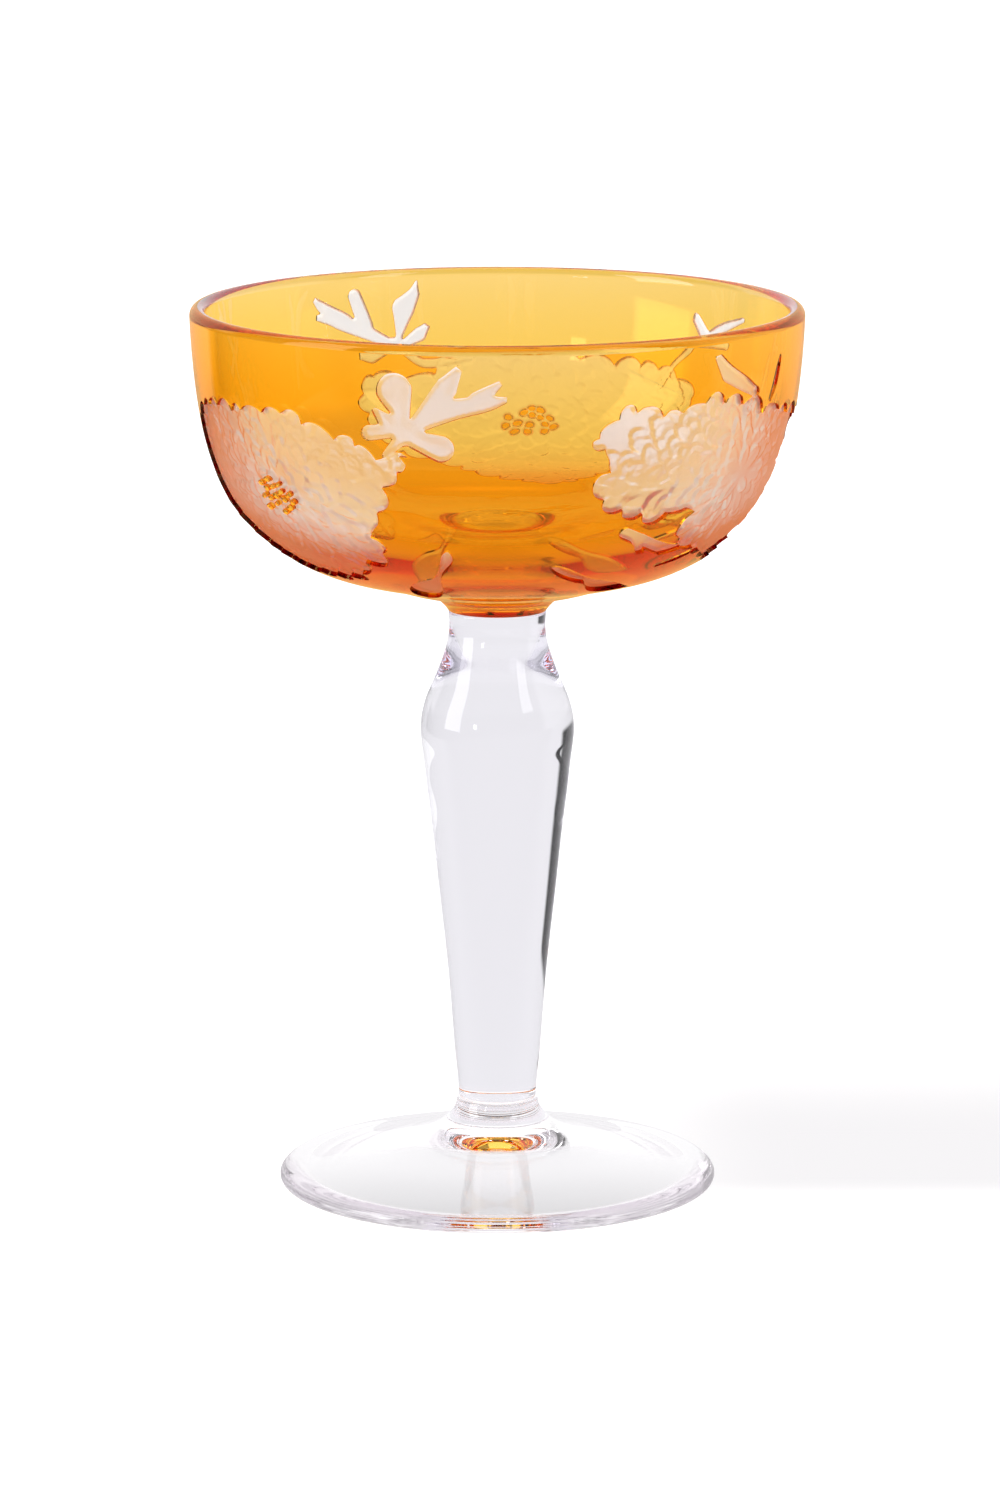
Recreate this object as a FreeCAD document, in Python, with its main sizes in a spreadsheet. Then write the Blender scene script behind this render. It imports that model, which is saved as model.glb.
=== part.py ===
import FreeCAD, Part
import Sketcher
import math
import os

# Stemmed champagne coupe in blown glass: a clear bowl liner under a coloured casing carved
# with flowers, sprigs and leaves, on a turned stem, merese and foot.  Millimetres, +Z up,
# the table at z = 0, turned about the Z axis.  The front is -Y and the right is +X.
Vector = FreeCAD.Vector
doc = FreeCAD.newDocument("champagne_coupe")

# ---------------------------------------------------------------- dimensions
DIMENSIONS = [
    # alias, value, note
    ("RimRadius", 50.1, "outer radius of the bowl under the rim"),
    ("BowlTopHeight", 145.0, "height where the rounded lip starts"),
    ("LipHeight", 1.6, "rise of the rounded lip above the bowl wall"),
    ("LipThickness", 2.75, "total wall thickness under the lip"),
    ("SkinThickness", 0.6, "thickness of the coloured casing"),
    ("CollarHeight", 96.3, "height of the joint between bowl and stem"),
    ("CavityFloorHeight", 104.0, "height of the inside bottom of the bowl"),
    ("NeckRadius", 8.05, "radius of the stem where it meets the bowl"),
    ("ShoulderRadius", 12.65, "widest radius of the stem"),
    ("WaistRadius", 6.4, "radius at the bottom of the stem"),
    ("StemBottomHeight", 14.2, "height of the joint between stem and merese"),
    ("MereseTopRadius", 6.75, "radius of the merese under the stem"),
    ("HubHeight", 10.6, "height of the joint between merese and foot"),
    ("HubRadius", 8.5, "radius of the foot where the merese sits"),
    ("FootRadius", 36.2, "outer radius of the foot"),
    ("HollowRadius", 31.5, "radius of the hollow under the foot"),
    ("HollowDepth", 6.3, "depth of the hollow under the foot"),
    ("WindowReachOut", 9.0, "how far a carving tool starts outside the bowl"),
    ("WindowReachIn", 24.0, "how far a carving tool goes past the surface"),
]
MOTIFS = {
    # name: (azimuth from the front towards the right in degrees,
    #        arc length up the bowl from the collar in mm)
    "left_flower": (-50.0, 47.0),
    "right_flower": (60.0, 49.0),
    "back_flower": (172.5, 46.5),
    "front_sprig": (-11.4, 63.3),
    "back_left_sprig": (202.4, 64.7),
    "back_right_sprig": (132.5, 61.5),
    "right_sprig": (54.9, 65.6),
    "low_right_leaf": (39.1, 37.3),
    "low_mid_leaf": (28.7, 28.7),
    "low_left_leaf": (-17.1, 29.0),
}


def azimuth_alias(motif):
    return motif.title().replace("_", "") + "Azimuth"


for motif, (azimuth, _) in MOTIFS.items():
    DIMENSIONS.append((azimuth_alias(motif), azimuth, "direction of the " + motif.replace("_", " ")))

sheet = doc.addObject("Spreadsheet::Sheet", "Dims")
for row, (alias, value, note) in enumerate(DIMENSIONS, start=1):
    sheet.set("A%d" % row, alias)
    sheet.set("B%d" % row, repr(value))
    sheet.setAlias("B%d" % row, alias)
    sheet.set("C%d" % row, note)
SIZE = {alias: value for alias, value, _ in DIMENSIONS}
doc.recompute()

# ------------------------------------------------------- control polygons
# (radius, height) of the spline poles.  OUTER is the outside of the bowl and SKIN the
# face between casing and liner, pole for pole.
OUTER = [
    (8.05, 96.3), (8.832, 97.268), (9.857, 98.462), (11.238, 98.905), (15.313, 99.868),
    (26.291, 102.671), (31.855, 104.376), (38.323, 108.427), (42.221, 112.392),
    (44.87, 116.335), (47.631, 124.02), (49.331, 132.994), (49.915, 140.804), (50.1, 145.0),
]
SKIN = [
    (7.746, 96.9), (8.456, 97.687), (9.504, 99.069), (11.178, 99.579), (15.227, 100.628),
    (26.137, 103.452), (31.513, 105.109), (37.878, 109.072), (41.643, 112.904),
    (44.23, 116.7), (47.013, 124.272), (48.785, 133.112), (49.485, 140.854), (49.758, 145.0),
]
CAVITY = [
    (0.0, 104.0), (5.235, 104.1), (10.538, 104.3), (27.731, 108.954), (34.881, 112.471),
    (39.045, 116.061), (44.444, 123.877), (45.534, 128.192), (47.221, 138.8), (47.35, 145.0),
]
LIP_OUT = [(48.75, 146.6), (49.6, 146.6), (50.1, 145.9), (50.1, 145.0)]
LIP_IN = [(48.75, 146.6), (47.9, 146.6), (47.35, 145.9), (47.35, 145.0)]
STEM = [
    (8.05, 96.3), (7.67, 93.91), (8.277, 92.454), (7.924, 90.676), (11.054, 83.298),
    (12.509, 79.632), (12.621, 77.004), (12.731, 75.572), (10.883, 61.631), (9.437, 47.3),
    (7.648, 32.089), (7.082, 19.73), (6.215, 16.196), (6.4, 14.2),
]
MERESE = [(6.75, 14.2), (6.9, 13.2), (7.3, 12.2), (7.9, 11.3), (8.5, 10.6)]
FOOT = [
    (8.5, 10.6), (9.3, 9.9), (11.1, 8.72), (15.071, 7.269), (22.52, 5.187), (27.853, 3.973),
    (33.9, 3.0), (35.35, 2.5), (36.35, 1.75), (36.25, 0.85), (35.9, 0.25), (35.0, 0.0),
]
HOLLOW = [
    (31.5, 0.0), (29.0, 0.5), (23.5, 1.9), (15.5, 3.9), (9.5, 5.7), (4.5, 6.3), (0.0, 6.3),
]
# Stem poles above the first height follow the neck radius, those above the second the
# shoulder radius and the rest the waist radius.
NECK_POLES_ABOVE = 88.0
SHOULDER_POLES_ABOVE = 60.0

# ------------------------------------------------------------ carved motifs
# Closed window outlines on the unrolled bowl:
# (mm across from the motif's own meridian, mm up along the profile).
OUTLINES = {
    "left_flower": [[
        (-25.53, 10.43), (-26.44, 10.55), (-27.18, 10.36), (-27.69, 9.91), (-27.83, 9.21),
        (-27.55, 8.36), (-28.25, 8.10), (-28.58, 7.65), (-28.78, 7.14), (-28.86, 6.60),
        (-28.86, 6.04), (-28.76, 5.49), (-27.83, 4.85), (-28.60, 4.12), (-29.17, 3.31),
        (-29.55, 2.46), (-29.70, 1.60), (-29.54, 0.75), (-28.99, -0.05), (-28.11, -0.77),
        (-28.56, -1.56), (-28.74, -2.32), (-28.75, -3.07), (-28.60, -3.78), (-28.29, -4.45),
        (-27.79, -5.05), (-26.94, -5.50), (-27.37, -6.34), (-27.41, -7.06), (-27.17, -7.66),
        (-26.65, -8.12), (-25.44, -8.19), (-25.63, -9.01), (-25.67, -9.78), (-25.58, -10.49),
        (-25.33, -11.11), (-24.86, -11.58), (-24.16, -11.85), (-23.25, -11.91), (-23.13, -12.67),
        (-22.86, -13.33), (-22.51, -13.93), (-22.06, -14.43), (-21.51, -14.81), (-20.84, -15.06),
        (-19.85, -14.85), (-19.73, -15.83), (-19.39, -16.55), (-18.86, -17.02), (-18.12, -17.14),
        (-16.92, -16.35), (-16.86, -17.99), (-16.23, -18.59), (-15.47, -18.91), (-14.64, -19.03),
        (-13.77, -18.98), (-12.88, -18.76), (-12.02, -18.55), (-11.56, -19.47), (-10.95, -19.82),
        (-10.29, -19.88), (-9.60, -19.69), (-8.84, -18.78), (-8.37, -20.07), (-7.78, -20.40),
        (-7.16, -20.48), (-6.53, -20.39), (-5.90, -20.16), (-5.26, -19.80), (-4.63, -19.29),
        (-3.98, -20.21), (-3.30, -20.48), (-2.62, -20.56), (-1.93, -20.48), (-1.25, -20.28),
        (-0.57, -19.95), (0.08, -19.13), (0.76, -20.21), (1.43, -20.49), (2.08, -20.52),
        (2.72, -20.35), (3.32, -20.01), (3.88, -19.50), (4.25, -18.40), (5.12, -18.99),
        (5.99, -19.26), (6.84, -19.26), (7.59, -18.94), (8.10, -18.34), (8.30, -17.47),
        (8.36, -16.50), (9.43, -16.45), (10.13, -16.04), (10.75, -15.56), (11.34, -15.03),
        (11.90, -14.44), (12.42, -13.79), (12.36, -12.26), (14.02, -13.08), (15.10, -13.02),
        (15.97, -12.63), (16.67, -11.97), (17.17, -11.07), (17.39, -9.97), (17.60, -9.05),
        (18.32, -8.86), (18.73, -8.37), (18.89, -7.77), (18.82, -7.16), (18.58, -6.63),
        (18.20, -6.14), (17.27, -5.72), (17.84, -4.82), (18.43, -4.19), (19.01, -3.74),
        (19.54, -3.26), (19.96, -2.66), (20.24, -1.88), (20.34, -0.89), (21.15, -0.62),
        (21.89, -0.25), (22.53, 0.29), (22.97, 1.00), (23.15, 1.81), (23.08, 2.63),
        (22.60, 3.74), (23.48, 3.93), (24.14, 4.09), (24.69, 4.31), (25.14, 4.66),
        (25.45, 5.15), (25.61, 5.79), (25.71, 6.47), (26.47, 6.53), (26.93, 6.89),
        (27.26, 7.35), (27.49, 7.90), (26.61, 9.18), (28.06, 9.18), (27.18, 9.85),
        (26.17, 9.97), (25.30, 9.79), (24.50, 9.35), (23.65, 8.67), (22.57, 8.43),
        (22.19, 9.05), (21.83, 9.54), (21.46, 9.98), (21.04, 10.35), (20.54, 10.63),
        (19.95, 10.79), (19.11, 10.47), (19.05, 11.56), (18.56, 11.96), (17.98, 12.14),
        (17.38, 12.18), (16.77, 12.09), (16.16, 11.90), (15.47, 11.25), (14.72, 12.14),
        (13.94, 12.74), (13.18, 13.20), (12.40, 13.53), (11.55, 13.71), (10.58, 13.70),
        (9.39, 13.19), (9.12, 14.37), (8.56, 14.98), (7.87, 15.33), (7.12, 15.45),
        (6.35, 15.33), (5.59, 14.98), (4.87, 14.56), (4.22, 15.03), (3.55, 15.26),
        (2.88, 15.36), (2.22, 15.34), (1.57, 15.18), (0.93, 14.89), (0.34, 14.20),
        (-0.53, 14.66), (-1.37, 14.90), (-2.20, 15.02), (-3.01, 15.01), (-3.82, 14.87),
        (-4.63, 14.56), (-5.45, 13.93), (-6.04, 14.55), (-6.63, 14.85), (-7.22, 14.89),
        (-7.81, 14.65), (-8.38, 13.37), (-9.18, 14.42), (-9.98, 14.92), (-10.77, 15.15),
        (-11.56, 15.14), (-12.34, 14.86), (-13.10, 14.32), (-13.84, 13.56), (-14.48, 14.19),
        (-15.12, 14.48), (-15.74, 14.60), (-16.35, 14.55), (-16.94, 14.33), (-17.50, 13.92),
        (-17.99, 13.12), (-18.78, 14.04), (-19.44, 14.11), (-20.05, 13.87), (-20.60, 13.39),
        (-21.05, 12.61), (-21.93, 12.98), (-22.74, 13.01), (-23.51, 12.86), (-24.23, 12.54),
        (-24.86, 12.07), (-25.38, 11.43),
    ]],
    "right_flower": [[
        (22.32, 8.92), (21.68, 9.58), (21.05, 9.91), (20.43, 10.09), (19.80, 10.13),
        (19.16, 10.02), (18.51, 9.75), (17.76, 8.40), (16.88, 10.21), (15.92, 10.81),
        (14.92, 11.06), (13.90, 11.03), (12.84, 10.78), (11.74, 10.29), (10.62, 9.67),
        (10.17, 11.00), (9.60, 11.41), (8.99, 11.57), (8.35, 11.55), (7.69, 11.38),
        (6.99, 11.06), (6.30, 10.78), (5.53, 11.64), (4.68, 12.00), (3.80, 12.21),
        (2.90, 12.33), (1.98, 12.36), (1.04, 12.31), (-0.17, 11.05), (-0.71, 12.97),
        (-1.49, 13.81), (-2.36, 14.27), (-3.31, 14.41), (-4.33, 14.25), (-5.42, 13.79),
        (-6.54, 13.26), (-6.92, 14.55), (-7.51, 15.01), (-8.15, 15.22), (-8.84, 15.25),
        (-9.55, 15.13), (-10.29, 14.85), (-11.10, 13.94), (-11.62, 15.18), (-12.29, 15.77),
        (-13.03, 16.04), (-13.78, 16.00), (-14.49, 15.64), (-15.09, 14.97), (-15.65, 14.39),
        (-16.36, 14.49), (-17.06, 14.51), (-17.74, 14.49), (-18.39, 14.39), (-19.02, 14.20),
        (-19.62, 13.88), (-20.20, 13.23), (-20.97, 13.66), (-21.68, 13.89), (-22.37, 13.95),
        (-23.08, 13.81), (-23.91, 12.94), (-24.48, 13.99), (-25.11, 14.46), (-25.79, 14.74),
        (-26.50, 14.85), (-27.26, 14.82), (-28.05, 14.62), (-28.87, 14.02), (-29.31, 15.02),
        (-29.93, 15.36), (-30.62, 15.37), (-31.27, 15.05), (-31.68, 14.49), (-31.85, 13.81),
        (-31.89, 13.07), (-32.60, 12.90), (-33.20, 12.65), (-33.74, 12.38), (-34.22, 12.04),
        (-34.62, 11.59), (-34.90, 11.01), (-34.85, 10.16), (-35.45, 10.01), (-35.88, 9.61),
        (-35.85, 8.92), (-35.46, 8.40), (-34.95, 8.12), (-34.33, 8.05), (-33.57, 8.26),
        (-33.31, 7.60), (-32.98, 7.10), (-32.68, 6.67), (-32.47, 6.32), (-32.38, 5.92),
        (-32.36, 5.35), (-31.78, 4.35), (-33.25, 4.15), (-33.99, 3.38), (-34.26, 2.32),
        (-34.04, 1.27), (-33.45, 0.41), (-32.60, -0.18), (-31.55, -0.39), (-31.58, -1.41),
        (-31.19, -2.10), (-30.63, -2.58), (-29.97, -2.87), (-29.24, -2.96), (-28.47, -2.87),
        (-27.59, -2.46), (-27.33, -3.52), (-26.86, -3.94), (-26.32, -4.19), (-25.74, -4.32),
        (-25.11, -4.33), (-24.44, -4.22), (-23.61, -3.48), (-23.16, -4.74), (-22.45, -5.36),
        (-21.64, -5.66), (-20.77, -5.64), (-19.95, -5.31), (-19.26, -4.67), (-18.71, -3.85),
        (-17.82, -4.01), (-16.95, -4.01), (-16.13, -3.92), (-15.39, -3.74), (-14.74, -3.54),
        (-14.12, -3.56), (-12.76, -4.12), (-14.01, -5.09), (-14.42, -5.86), (-14.60, -6.64),
        (-14.60, -7.47), (-14.37, -8.39), (-13.69, -9.07), (-12.86, -9.28), (-12.52, -10.37),
        (-11.83, -11.14), (-11.02, -11.73), (-10.14, -12.17), (-9.19, -12.46), (-8.17, -12.61),
        (-7.02, -12.44), (-6.64, -13.41), (-6.10, -14.01), (-5.44, -14.36), (-4.65, -14.41),
        (-3.61, -13.92), (-3.21, -14.63), (-2.76, -15.23), (-2.27, -15.74), (-1.72, -16.12),
        (-1.10, -16.34), (-0.37, -16.36), (0.46, -16.20), (0.82, -16.83), (1.25, -17.31),
        (1.72, -17.71), (2.24, -18.03), (2.82, -18.25), (3.45, -18.38), (4.17, -18.31),
        (4.52, -19.02), (5.03, -19.43), (5.64, -19.66), (6.30, -19.70), (7.01, -19.47),
        (7.47, -19.87), (7.99, -20.12), (8.54, -20.26), (9.10, -20.31), (9.66, -20.24),
        (10.20, -20.06), (10.69, -19.34), (11.43, -20.03), (12.14, -20.18), (12.84, -20.15),
        (13.50, -19.95), (14.12, -19.62), (14.69, -19.16), (15.15, -18.37), (16.07, -19.03),
        (16.78, -18.99), (17.43, -18.76), (18.02, -18.40), (18.56, -17.93), (19.03, -17.37),
        (19.25, -16.38), (20.26, -16.56), (21.18, -16.51), (22.02, -16.29), (22.75, -15.88),
        (23.31, -15.27), (23.66, -14.43), (23.87, -13.49), (24.69, -13.31), (25.33, -12.93),
        (25.87, -12.45), (26.32, -11.89), (26.67, -11.26), (26.93, -10.57), (26.43, -9.38),
        (27.49, -9.13), (28.37, -8.75), (29.12, -8.25), (29.66, -7.61), (29.92, -6.82),
        (29.83, -5.88), (29.53, -4.89), (30.35, -4.60), (30.71, -4.10), (30.92, -3.55),
        (31.01, -2.97), (30.98, -2.37), (30.85, -1.77), (30.54, -1.16), (31.30, -0.49),
        (31.35, 0.26), (31.20, 1.00), (30.88, 1.70), (29.78, 2.19), (30.57, 3.02),
        (30.82, 3.77), (30.82, 4.47), (30.58, 5.09), (30.11, 5.60), (29.41, 5.97),
        (28.58, 6.21), (28.76, 7.13), (28.60, 7.90), (28.18, 8.49), (27.49, 8.83),
        (26.36, 8.38), (26.12, 9.12), (25.62, 9.69), (24.96, 10.08), (24.28, 10.24),
        (23.61, 10.14), (22.97, 9.74),
    ]],
    "back_flower": [[
        (29.16, 9.65), (28.50, 10.21), (27.63, 10.41), (26.74, 10.39), (25.89, 10.19),
        (25.12, 9.84), (24.39, 9.32), (23.74, 8.34), (22.73, 9.10), (21.92, 9.34),
        (21.14, 9.50), (20.34, 9.62), (19.49, 9.70), (18.59, 9.74), (17.44, 9.36),
        (17.27, 10.57), (16.83, 11.24), (16.28, 11.70), (15.63, 11.97), (14.89, 12.04),
        (14.08, 11.90), (13.31, 11.71), (12.87, 12.21), (12.38, 12.57), (11.84, 12.84),
        (11.29, 12.98), (10.71, 12.99), (10.12, 12.84), (9.53, 12.55), (8.94, 12.97),
        (8.33, 13.12), (7.71, 13.12), (7.09, 13.01), (6.46, 12.20), (5.85, 12.85),
        (5.24, 13.24), (4.63, 13.48), (4.01, 13.55), (3.38, 13.43), (2.76, 13.09),
        (2.13, 12.43), (1.50, 12.99), (0.87, 13.29), (0.24, 13.46), (-0.40, 13.49),
        (-1.03, 13.36), (-1.66, 13.07), (-2.28, 12.46), (-2.90, 12.96), (-3.52, 13.29),
        (-4.14, 13.39), (-4.74, 13.17), (-5.32, 12.60), (-5.94, 12.85), (-6.57, 13.01),
        (-7.18, 13.05), (-7.79, 12.90), (-8.33, 11.92), (-9.33, 12.51), (-10.31, 12.83),
        (-11.28, 13.01), (-12.24, 13.01), (-13.18, 12.82), (-14.11, 12.41), (-15.05, 11.30),
        (-15.83, 12.07), (-16.60, 12.57), (-17.37, 12.91), (-18.14, 13.02), (-18.90, 12.87),
        (-19.67, 12.40), (-20.42, 11.73), (-21.20, 12.53), (-21.96, 12.62), (-22.72, 12.46),
        (-23.44, 12.12), (-24.10, 11.34), (-24.81, 11.80), (-25.51, 12.01), (-26.19, 12.08),
        (-26.85, 11.98), (-27.46, 11.69), (-27.99, 11.20), (-28.32, 10.27), (-29.37, 10.39),
        (-30.37, 10.27), (-31.31, 9.95), (-32.14, 9.37), (-32.73, 8.52), (-32.84, 7.46),
        (-32.25, 6.67), (-32.31, 5.71), (-31.89, 4.87), (-31.31, 4.16), (-30.65, 3.54),
        (-29.93, 3.00), (-29.16, 2.48), (-27.53, 2.34), (-28.26, 0.94), (-28.67, -0.02),
        (-28.85, -0.92), (-28.72, -1.83), (-28.23, -2.67), (-27.37, -3.32), (-26.69, -3.96),
        (-26.76, -4.68), (-26.62, -5.32), (-26.38, -5.91), (-26.04, -6.44), (-25.62, -6.92),
        (-25.12, -7.33), (-24.00, -7.25), (-24.07, -8.16), (-23.99, -8.98), (-23.77, -9.72),
        (-23.38, -10.32), (-22.80, -10.73), (-22.00, -10.86), (-20.96, -10.63), (-20.82, -11.73),
        (-20.34, -12.41), (-19.75, -12.94), (-19.08, -13.34), (-18.34, -13.63), (-17.52, -13.82),
        (-16.53, -13.81), (-16.56, -14.87), (-16.27, -15.46), (-15.80, -15.84), (-15.15, -16.05),
        (-14.16, -15.99), (-14.41, -17.16), (-14.09, -17.81), (-13.65, -18.37), (-13.13, -18.86),
        (-12.55, -19.32), (-11.89, -19.72), (-10.93, -19.85), (-11.25, -20.83), (-11.15, -21.49),
        (-10.87, -22.02), (-10.43, -22.41), (-9.86, -22.64), (-9.18, -22.69), (-8.24, -22.18),
        (-7.89, -23.30), (-7.15, -24.00), (-6.21, -24.36), (-5.24, -24.36), (-4.34, -24.03),
        (-3.56, -23.38), (-2.83, -22.77), (-2.15, -22.83), (-1.50, -22.78), (-0.89, -22.58),
        (-0.38, -22.20), (-0.36, -20.91), (0.64, -21.14), (1.57, -21.18), (2.42, -21.07),
        (3.17, -20.76), (3.76, -20.23), (4.15, -19.41), (4.07, -17.98), (5.50, -18.42),
        (6.48, -18.23), (7.28, -17.79), (7.92, -17.17), (8.42, -16.38), (8.77, -15.43),
        (9.05, -14.42), (9.99, -14.34), (10.80, -14.11), (11.45, -13.72), (11.86, -13.06),
        (11.65, -11.71), (13.07, -11.96), (13.96, -11.64), (14.70, -11.17), (15.36, -10.59),
        (15.98, -9.93), (16.59, -9.17), (17.21, -8.30), (18.22, -8.41), (19.17, -8.38),
        (20.08, -8.26), (20.93, -8.00), (21.72, -7.55), (22.40, -6.90), (22.91, -6.00),
        (23.78, -6.31), (24.34, -6.07), (24.77, -5.63), (25.06, -5.06), (25.13, -4.29),
        (26.05, -4.09), (26.75, -3.63), (27.33, -3.07), (27.81, -2.42), (28.19, -1.71),
        (28.49, -0.94), (28.59, -0.01), (29.55, -0.02), (29.97, 0.40), (30.21, 0.94),
        (30.33, 1.55), (29.93, 2.45), (30.76, 2.74), (31.41, 3.20), (31.90, 3.78),
        (32.18, 4.47), (32.18, 5.22), (31.83, 5.94), (31.10, 6.53), (31.42, 7.22),
        (31.52, 7.92), (31.43, 8.62), (31.15, 9.26), (30.64, 9.76), (29.95, 10.01),
    ]],
    "front_sprig": [[
        (-12.40, -3.45), (-12.31, -3.93), (-12.09, -4.30), (-11.77, -4.57), (-11.29, -4.74),
        (-10.89, -4.74), (-7.53, -4.14), (-7.14, -4.17), (-7.12, -4.33), (-7.26, -4.57),
        (-9.13, -7.05), (-9.15, -7.45), (-9.04, -7.61), (-8.81, -7.73), (-8.41, -7.65),
        (-5.37, -5.35), (-5.13, -5.24), (-4.81, -5.19), (-4.49, -5.30), (-0.01, -7.66),
        (0.63, -7.78), (1.27, -7.71), (1.75, -7.52), (2.20, -7.21), (2.55, -6.81),
        (2.81, -6.33), (2.93, -5.85), (2.94, -5.29), (2.84, -4.81), (2.62, -4.33),
        (2.12, -3.77), (1.43, -3.38), (-1.61, -2.97), (-1.83, -2.89), (-1.88, -2.81),
        (-1.82, -2.73), (-1.34, -2.49), (3.67, -0.54), (8.87, 0.67), (11.51, 2.12),
        (11.68, 2.31), (11.72, 2.55), (11.59, 2.86), (11.35, 2.99), (9.83, 3.06),
        (9.50, 3.19), (9.62, 3.51), (10.79, 4.88), (10.83, 5.11), (10.74, 5.35),
        (10.39, 5.56), (10.15, 5.52), (6.07, 3.70), (5.43, 3.03), (5.19, 2.87),
        (3.35, 2.65), (2.97, 2.71), (2.97, 2.87), (3.36, 3.35), (3.57, 3.75),
        (3.68, 4.47), (4.47, 7.19), (4.41, 7.51), (4.23, 7.75), (3.99, 7.87),
        (3.67, 7.87), (3.43, 7.75), (1.35, 6.06), (0.87, 5.79), (0.56, 5.51),
        (-3.61, -0.45), (-3.93, -0.79), (-4.04, -0.73), (-4.06, -0.33), (-3.59, 4.31),
        (-3.74, 4.71), (-4.33, 5.56), (-4.73, 5.90), (-5.21, 6.18), (-5.69, 6.36),
        (-6.25, 6.46), (-7.29, 6.37), (-8.17, 5.98), (-8.94, 5.27), (-9.42, 4.39),
        (-9.58, 3.43), (-9.43, 2.47), (-7.58, 0.31), (-7.33, -0.09), (-7.45, -0.17),
        (-7.76, -0.09), (-9.77, 0.79), (-10.17, 0.76), (-10.38, 0.55), (-10.42, 0.23),
        (-9.45, -1.61), (-9.43, -1.93), (-9.69, -2.06), (-11.29, -2.19), (-11.69, -2.32),
        (-12.01, -2.55), (-12.22, -2.81),
    ]],
    "back_left_sprig": [[
        (-14.90, -6.39), (-14.77, -6.79), (-14.43, -7.04), (-6.99, -8.22), (-4.43, -7.53),
        (-1.39, -4.90), (-0.75, -4.59), (-0.27, -4.66), (3.33, -6.56), (3.65, -6.66),
        (4.13, -6.64), (6.45, -5.82), (6.75, -5.59), (6.86, -5.27), (6.77, -4.88),
        (6.53, -4.66), (6.29, -4.58), (4.13, -4.45), (2.08, -3.67), (1.85, -3.51),
        (1.88, -3.35), (3.41, -2.72), (9.89, -0.35), (11.17, 0.45), (14.29, 1.51),
        (14.54, 1.85), (14.56, 2.09), (14.50, 2.33), (14.21, 2.61), (13.65, 2.73),
        (13.57, 2.89), (14.17, 3.45), (15.08, 4.89), (15.16, 5.13), (15.11, 5.37),
        (14.93, 5.56), (14.69, 5.63), (14.45, 5.58), (9.65, 3.22), (8.53, 2.76),
        (7.41, 2.09), (6.77, 1.49), (6.53, 1.40), (6.46, 1.53), (6.52, 1.85),
        (7.57, 4.81), (7.63, 5.37), (7.43, 5.93), (7.01, 6.33), (6.45, 6.50),
        (5.81, 6.39), (5.41, 6.10), (5.17, 5.75), (3.01, 0.65), (2.91, -0.23),
        (2.80, -0.47), (-0.27, -2.27), (-0.59, -2.40), (-0.83, -2.41), (-1.13, -2.23),
        (-1.31, -1.75), (-0.94, 1.77), (-0.76, 2.57), (-0.79, 3.05), (-0.94, 3.53),
        (-1.23, 4.01), (-1.63, 4.38), (-2.35, 4.72), (-3.87, 5.71), (-4.19, 5.99),
        (-5.17, 7.29), (-5.39, 7.36), (-5.52, 7.21), (-5.71, 5.61), (-5.86, 5.13),
        (-5.81, 4.65), (-4.95, 2.57), (-4.90, 2.25), (-4.48, 1.37), (-4.29, 1.13),
        (-2.59, -1.99), (-2.49, -2.47), (-2.59, -2.57), (-2.83, -2.47), (-4.99, -0.74),
        (-5.47, -0.58), (-6.67, 0.05), (-6.99, 0.08), (-7.31, -0.07), (-7.51, -0.39),
        (-7.51, -0.71), (-6.88, -1.99), (-6.73, -2.47), (-6.40, -2.87), (-6.03, -3.09),
        (-3.36, -3.99), (-3.20, -4.15), (-3.22, -4.31), (-5.23, -6.08), (-7.07, -6.28),
        (-14.27, -5.77), (-14.51, -5.82), (-14.74, -5.99),
    ]],
    "back_right_sprig": [[
        (-9.89, 6.61), (-9.81, 6.34), (-9.57, 6.15), (-3.57, 3.71), (-1.67, 2.77),
        (-1.27, 2.45), (-1.41, 2.37), (-1.81, 2.37), (-6.29, 2.79), (-6.61, 2.76),
        (-7.09, 2.46), (-7.32, 1.97), (-7.24, 1.41), (-6.88, 1.01), (-6.45, 0.87),
        (1.39, 0.69), (2.11, 0.55), (2.35, 0.32), (2.83, -0.51), (6.75, -3.27),
        (8.83, -6.93), (9.07, -7.05), (9.31, -7.04), (9.55, -6.87), (9.64, -6.59),
        (9.58, -6.35), (7.42, -2.75), (3.78, 0.37), (3.05, 1.97), (2.83, 2.22),
        (2.27, 2.53), (2.31, 2.77), (4.17, 5.25), (4.25, 5.57), (4.21, 5.89),
        (4.06, 6.21), (3.80, 6.45), (3.31, 6.60), (2.75, 6.44), (0.58, 4.21),
        (0.27, 3.81), (0.11, 3.74), (-0.13, 3.81), (-2.85, 5.49), (-9.33, 7.08),
        (-9.57, 7.05), (-9.73, 6.96),
    ]],
    "right_sprig": [[
        (-9.82, 4.89), (-9.69, 4.41), (-7.88, 1.29), (-7.51, 0.87), (-2.55, -1.28),
        (0.01, -2.16), (0.27, -2.31), (0.38, -2.47), (0.41, -2.71), (-0.01, -4.95),
        (0.06, -5.19), (0.25, -5.37), (0.57, -5.42), (0.89, -5.19), (1.53, -3.03),
        (2.11, -2.23), (2.23, -1.75), (2.12, -1.27), (1.76, -0.87), (0.81, -0.45),
        (-1.43, 1.04), (-5.91, 3.29), (-8.63, 5.55), (-9.03, 5.65), (-9.43, 5.54),
        (-9.69, 5.29),
    ], [
        (5.82, -3.67), (5.85, -3.86), (5.99, -3.99), (6.17, -4.03), (6.33, -3.96),
        (8.16, -1.91), (9.11, 1.37), (9.27, 3.21), (9.16, 3.45), (8.89, 3.45),
        (7.92, 1.85), (6.80, -1.43),
    ]],
    "low_right_leaf": [[
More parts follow.
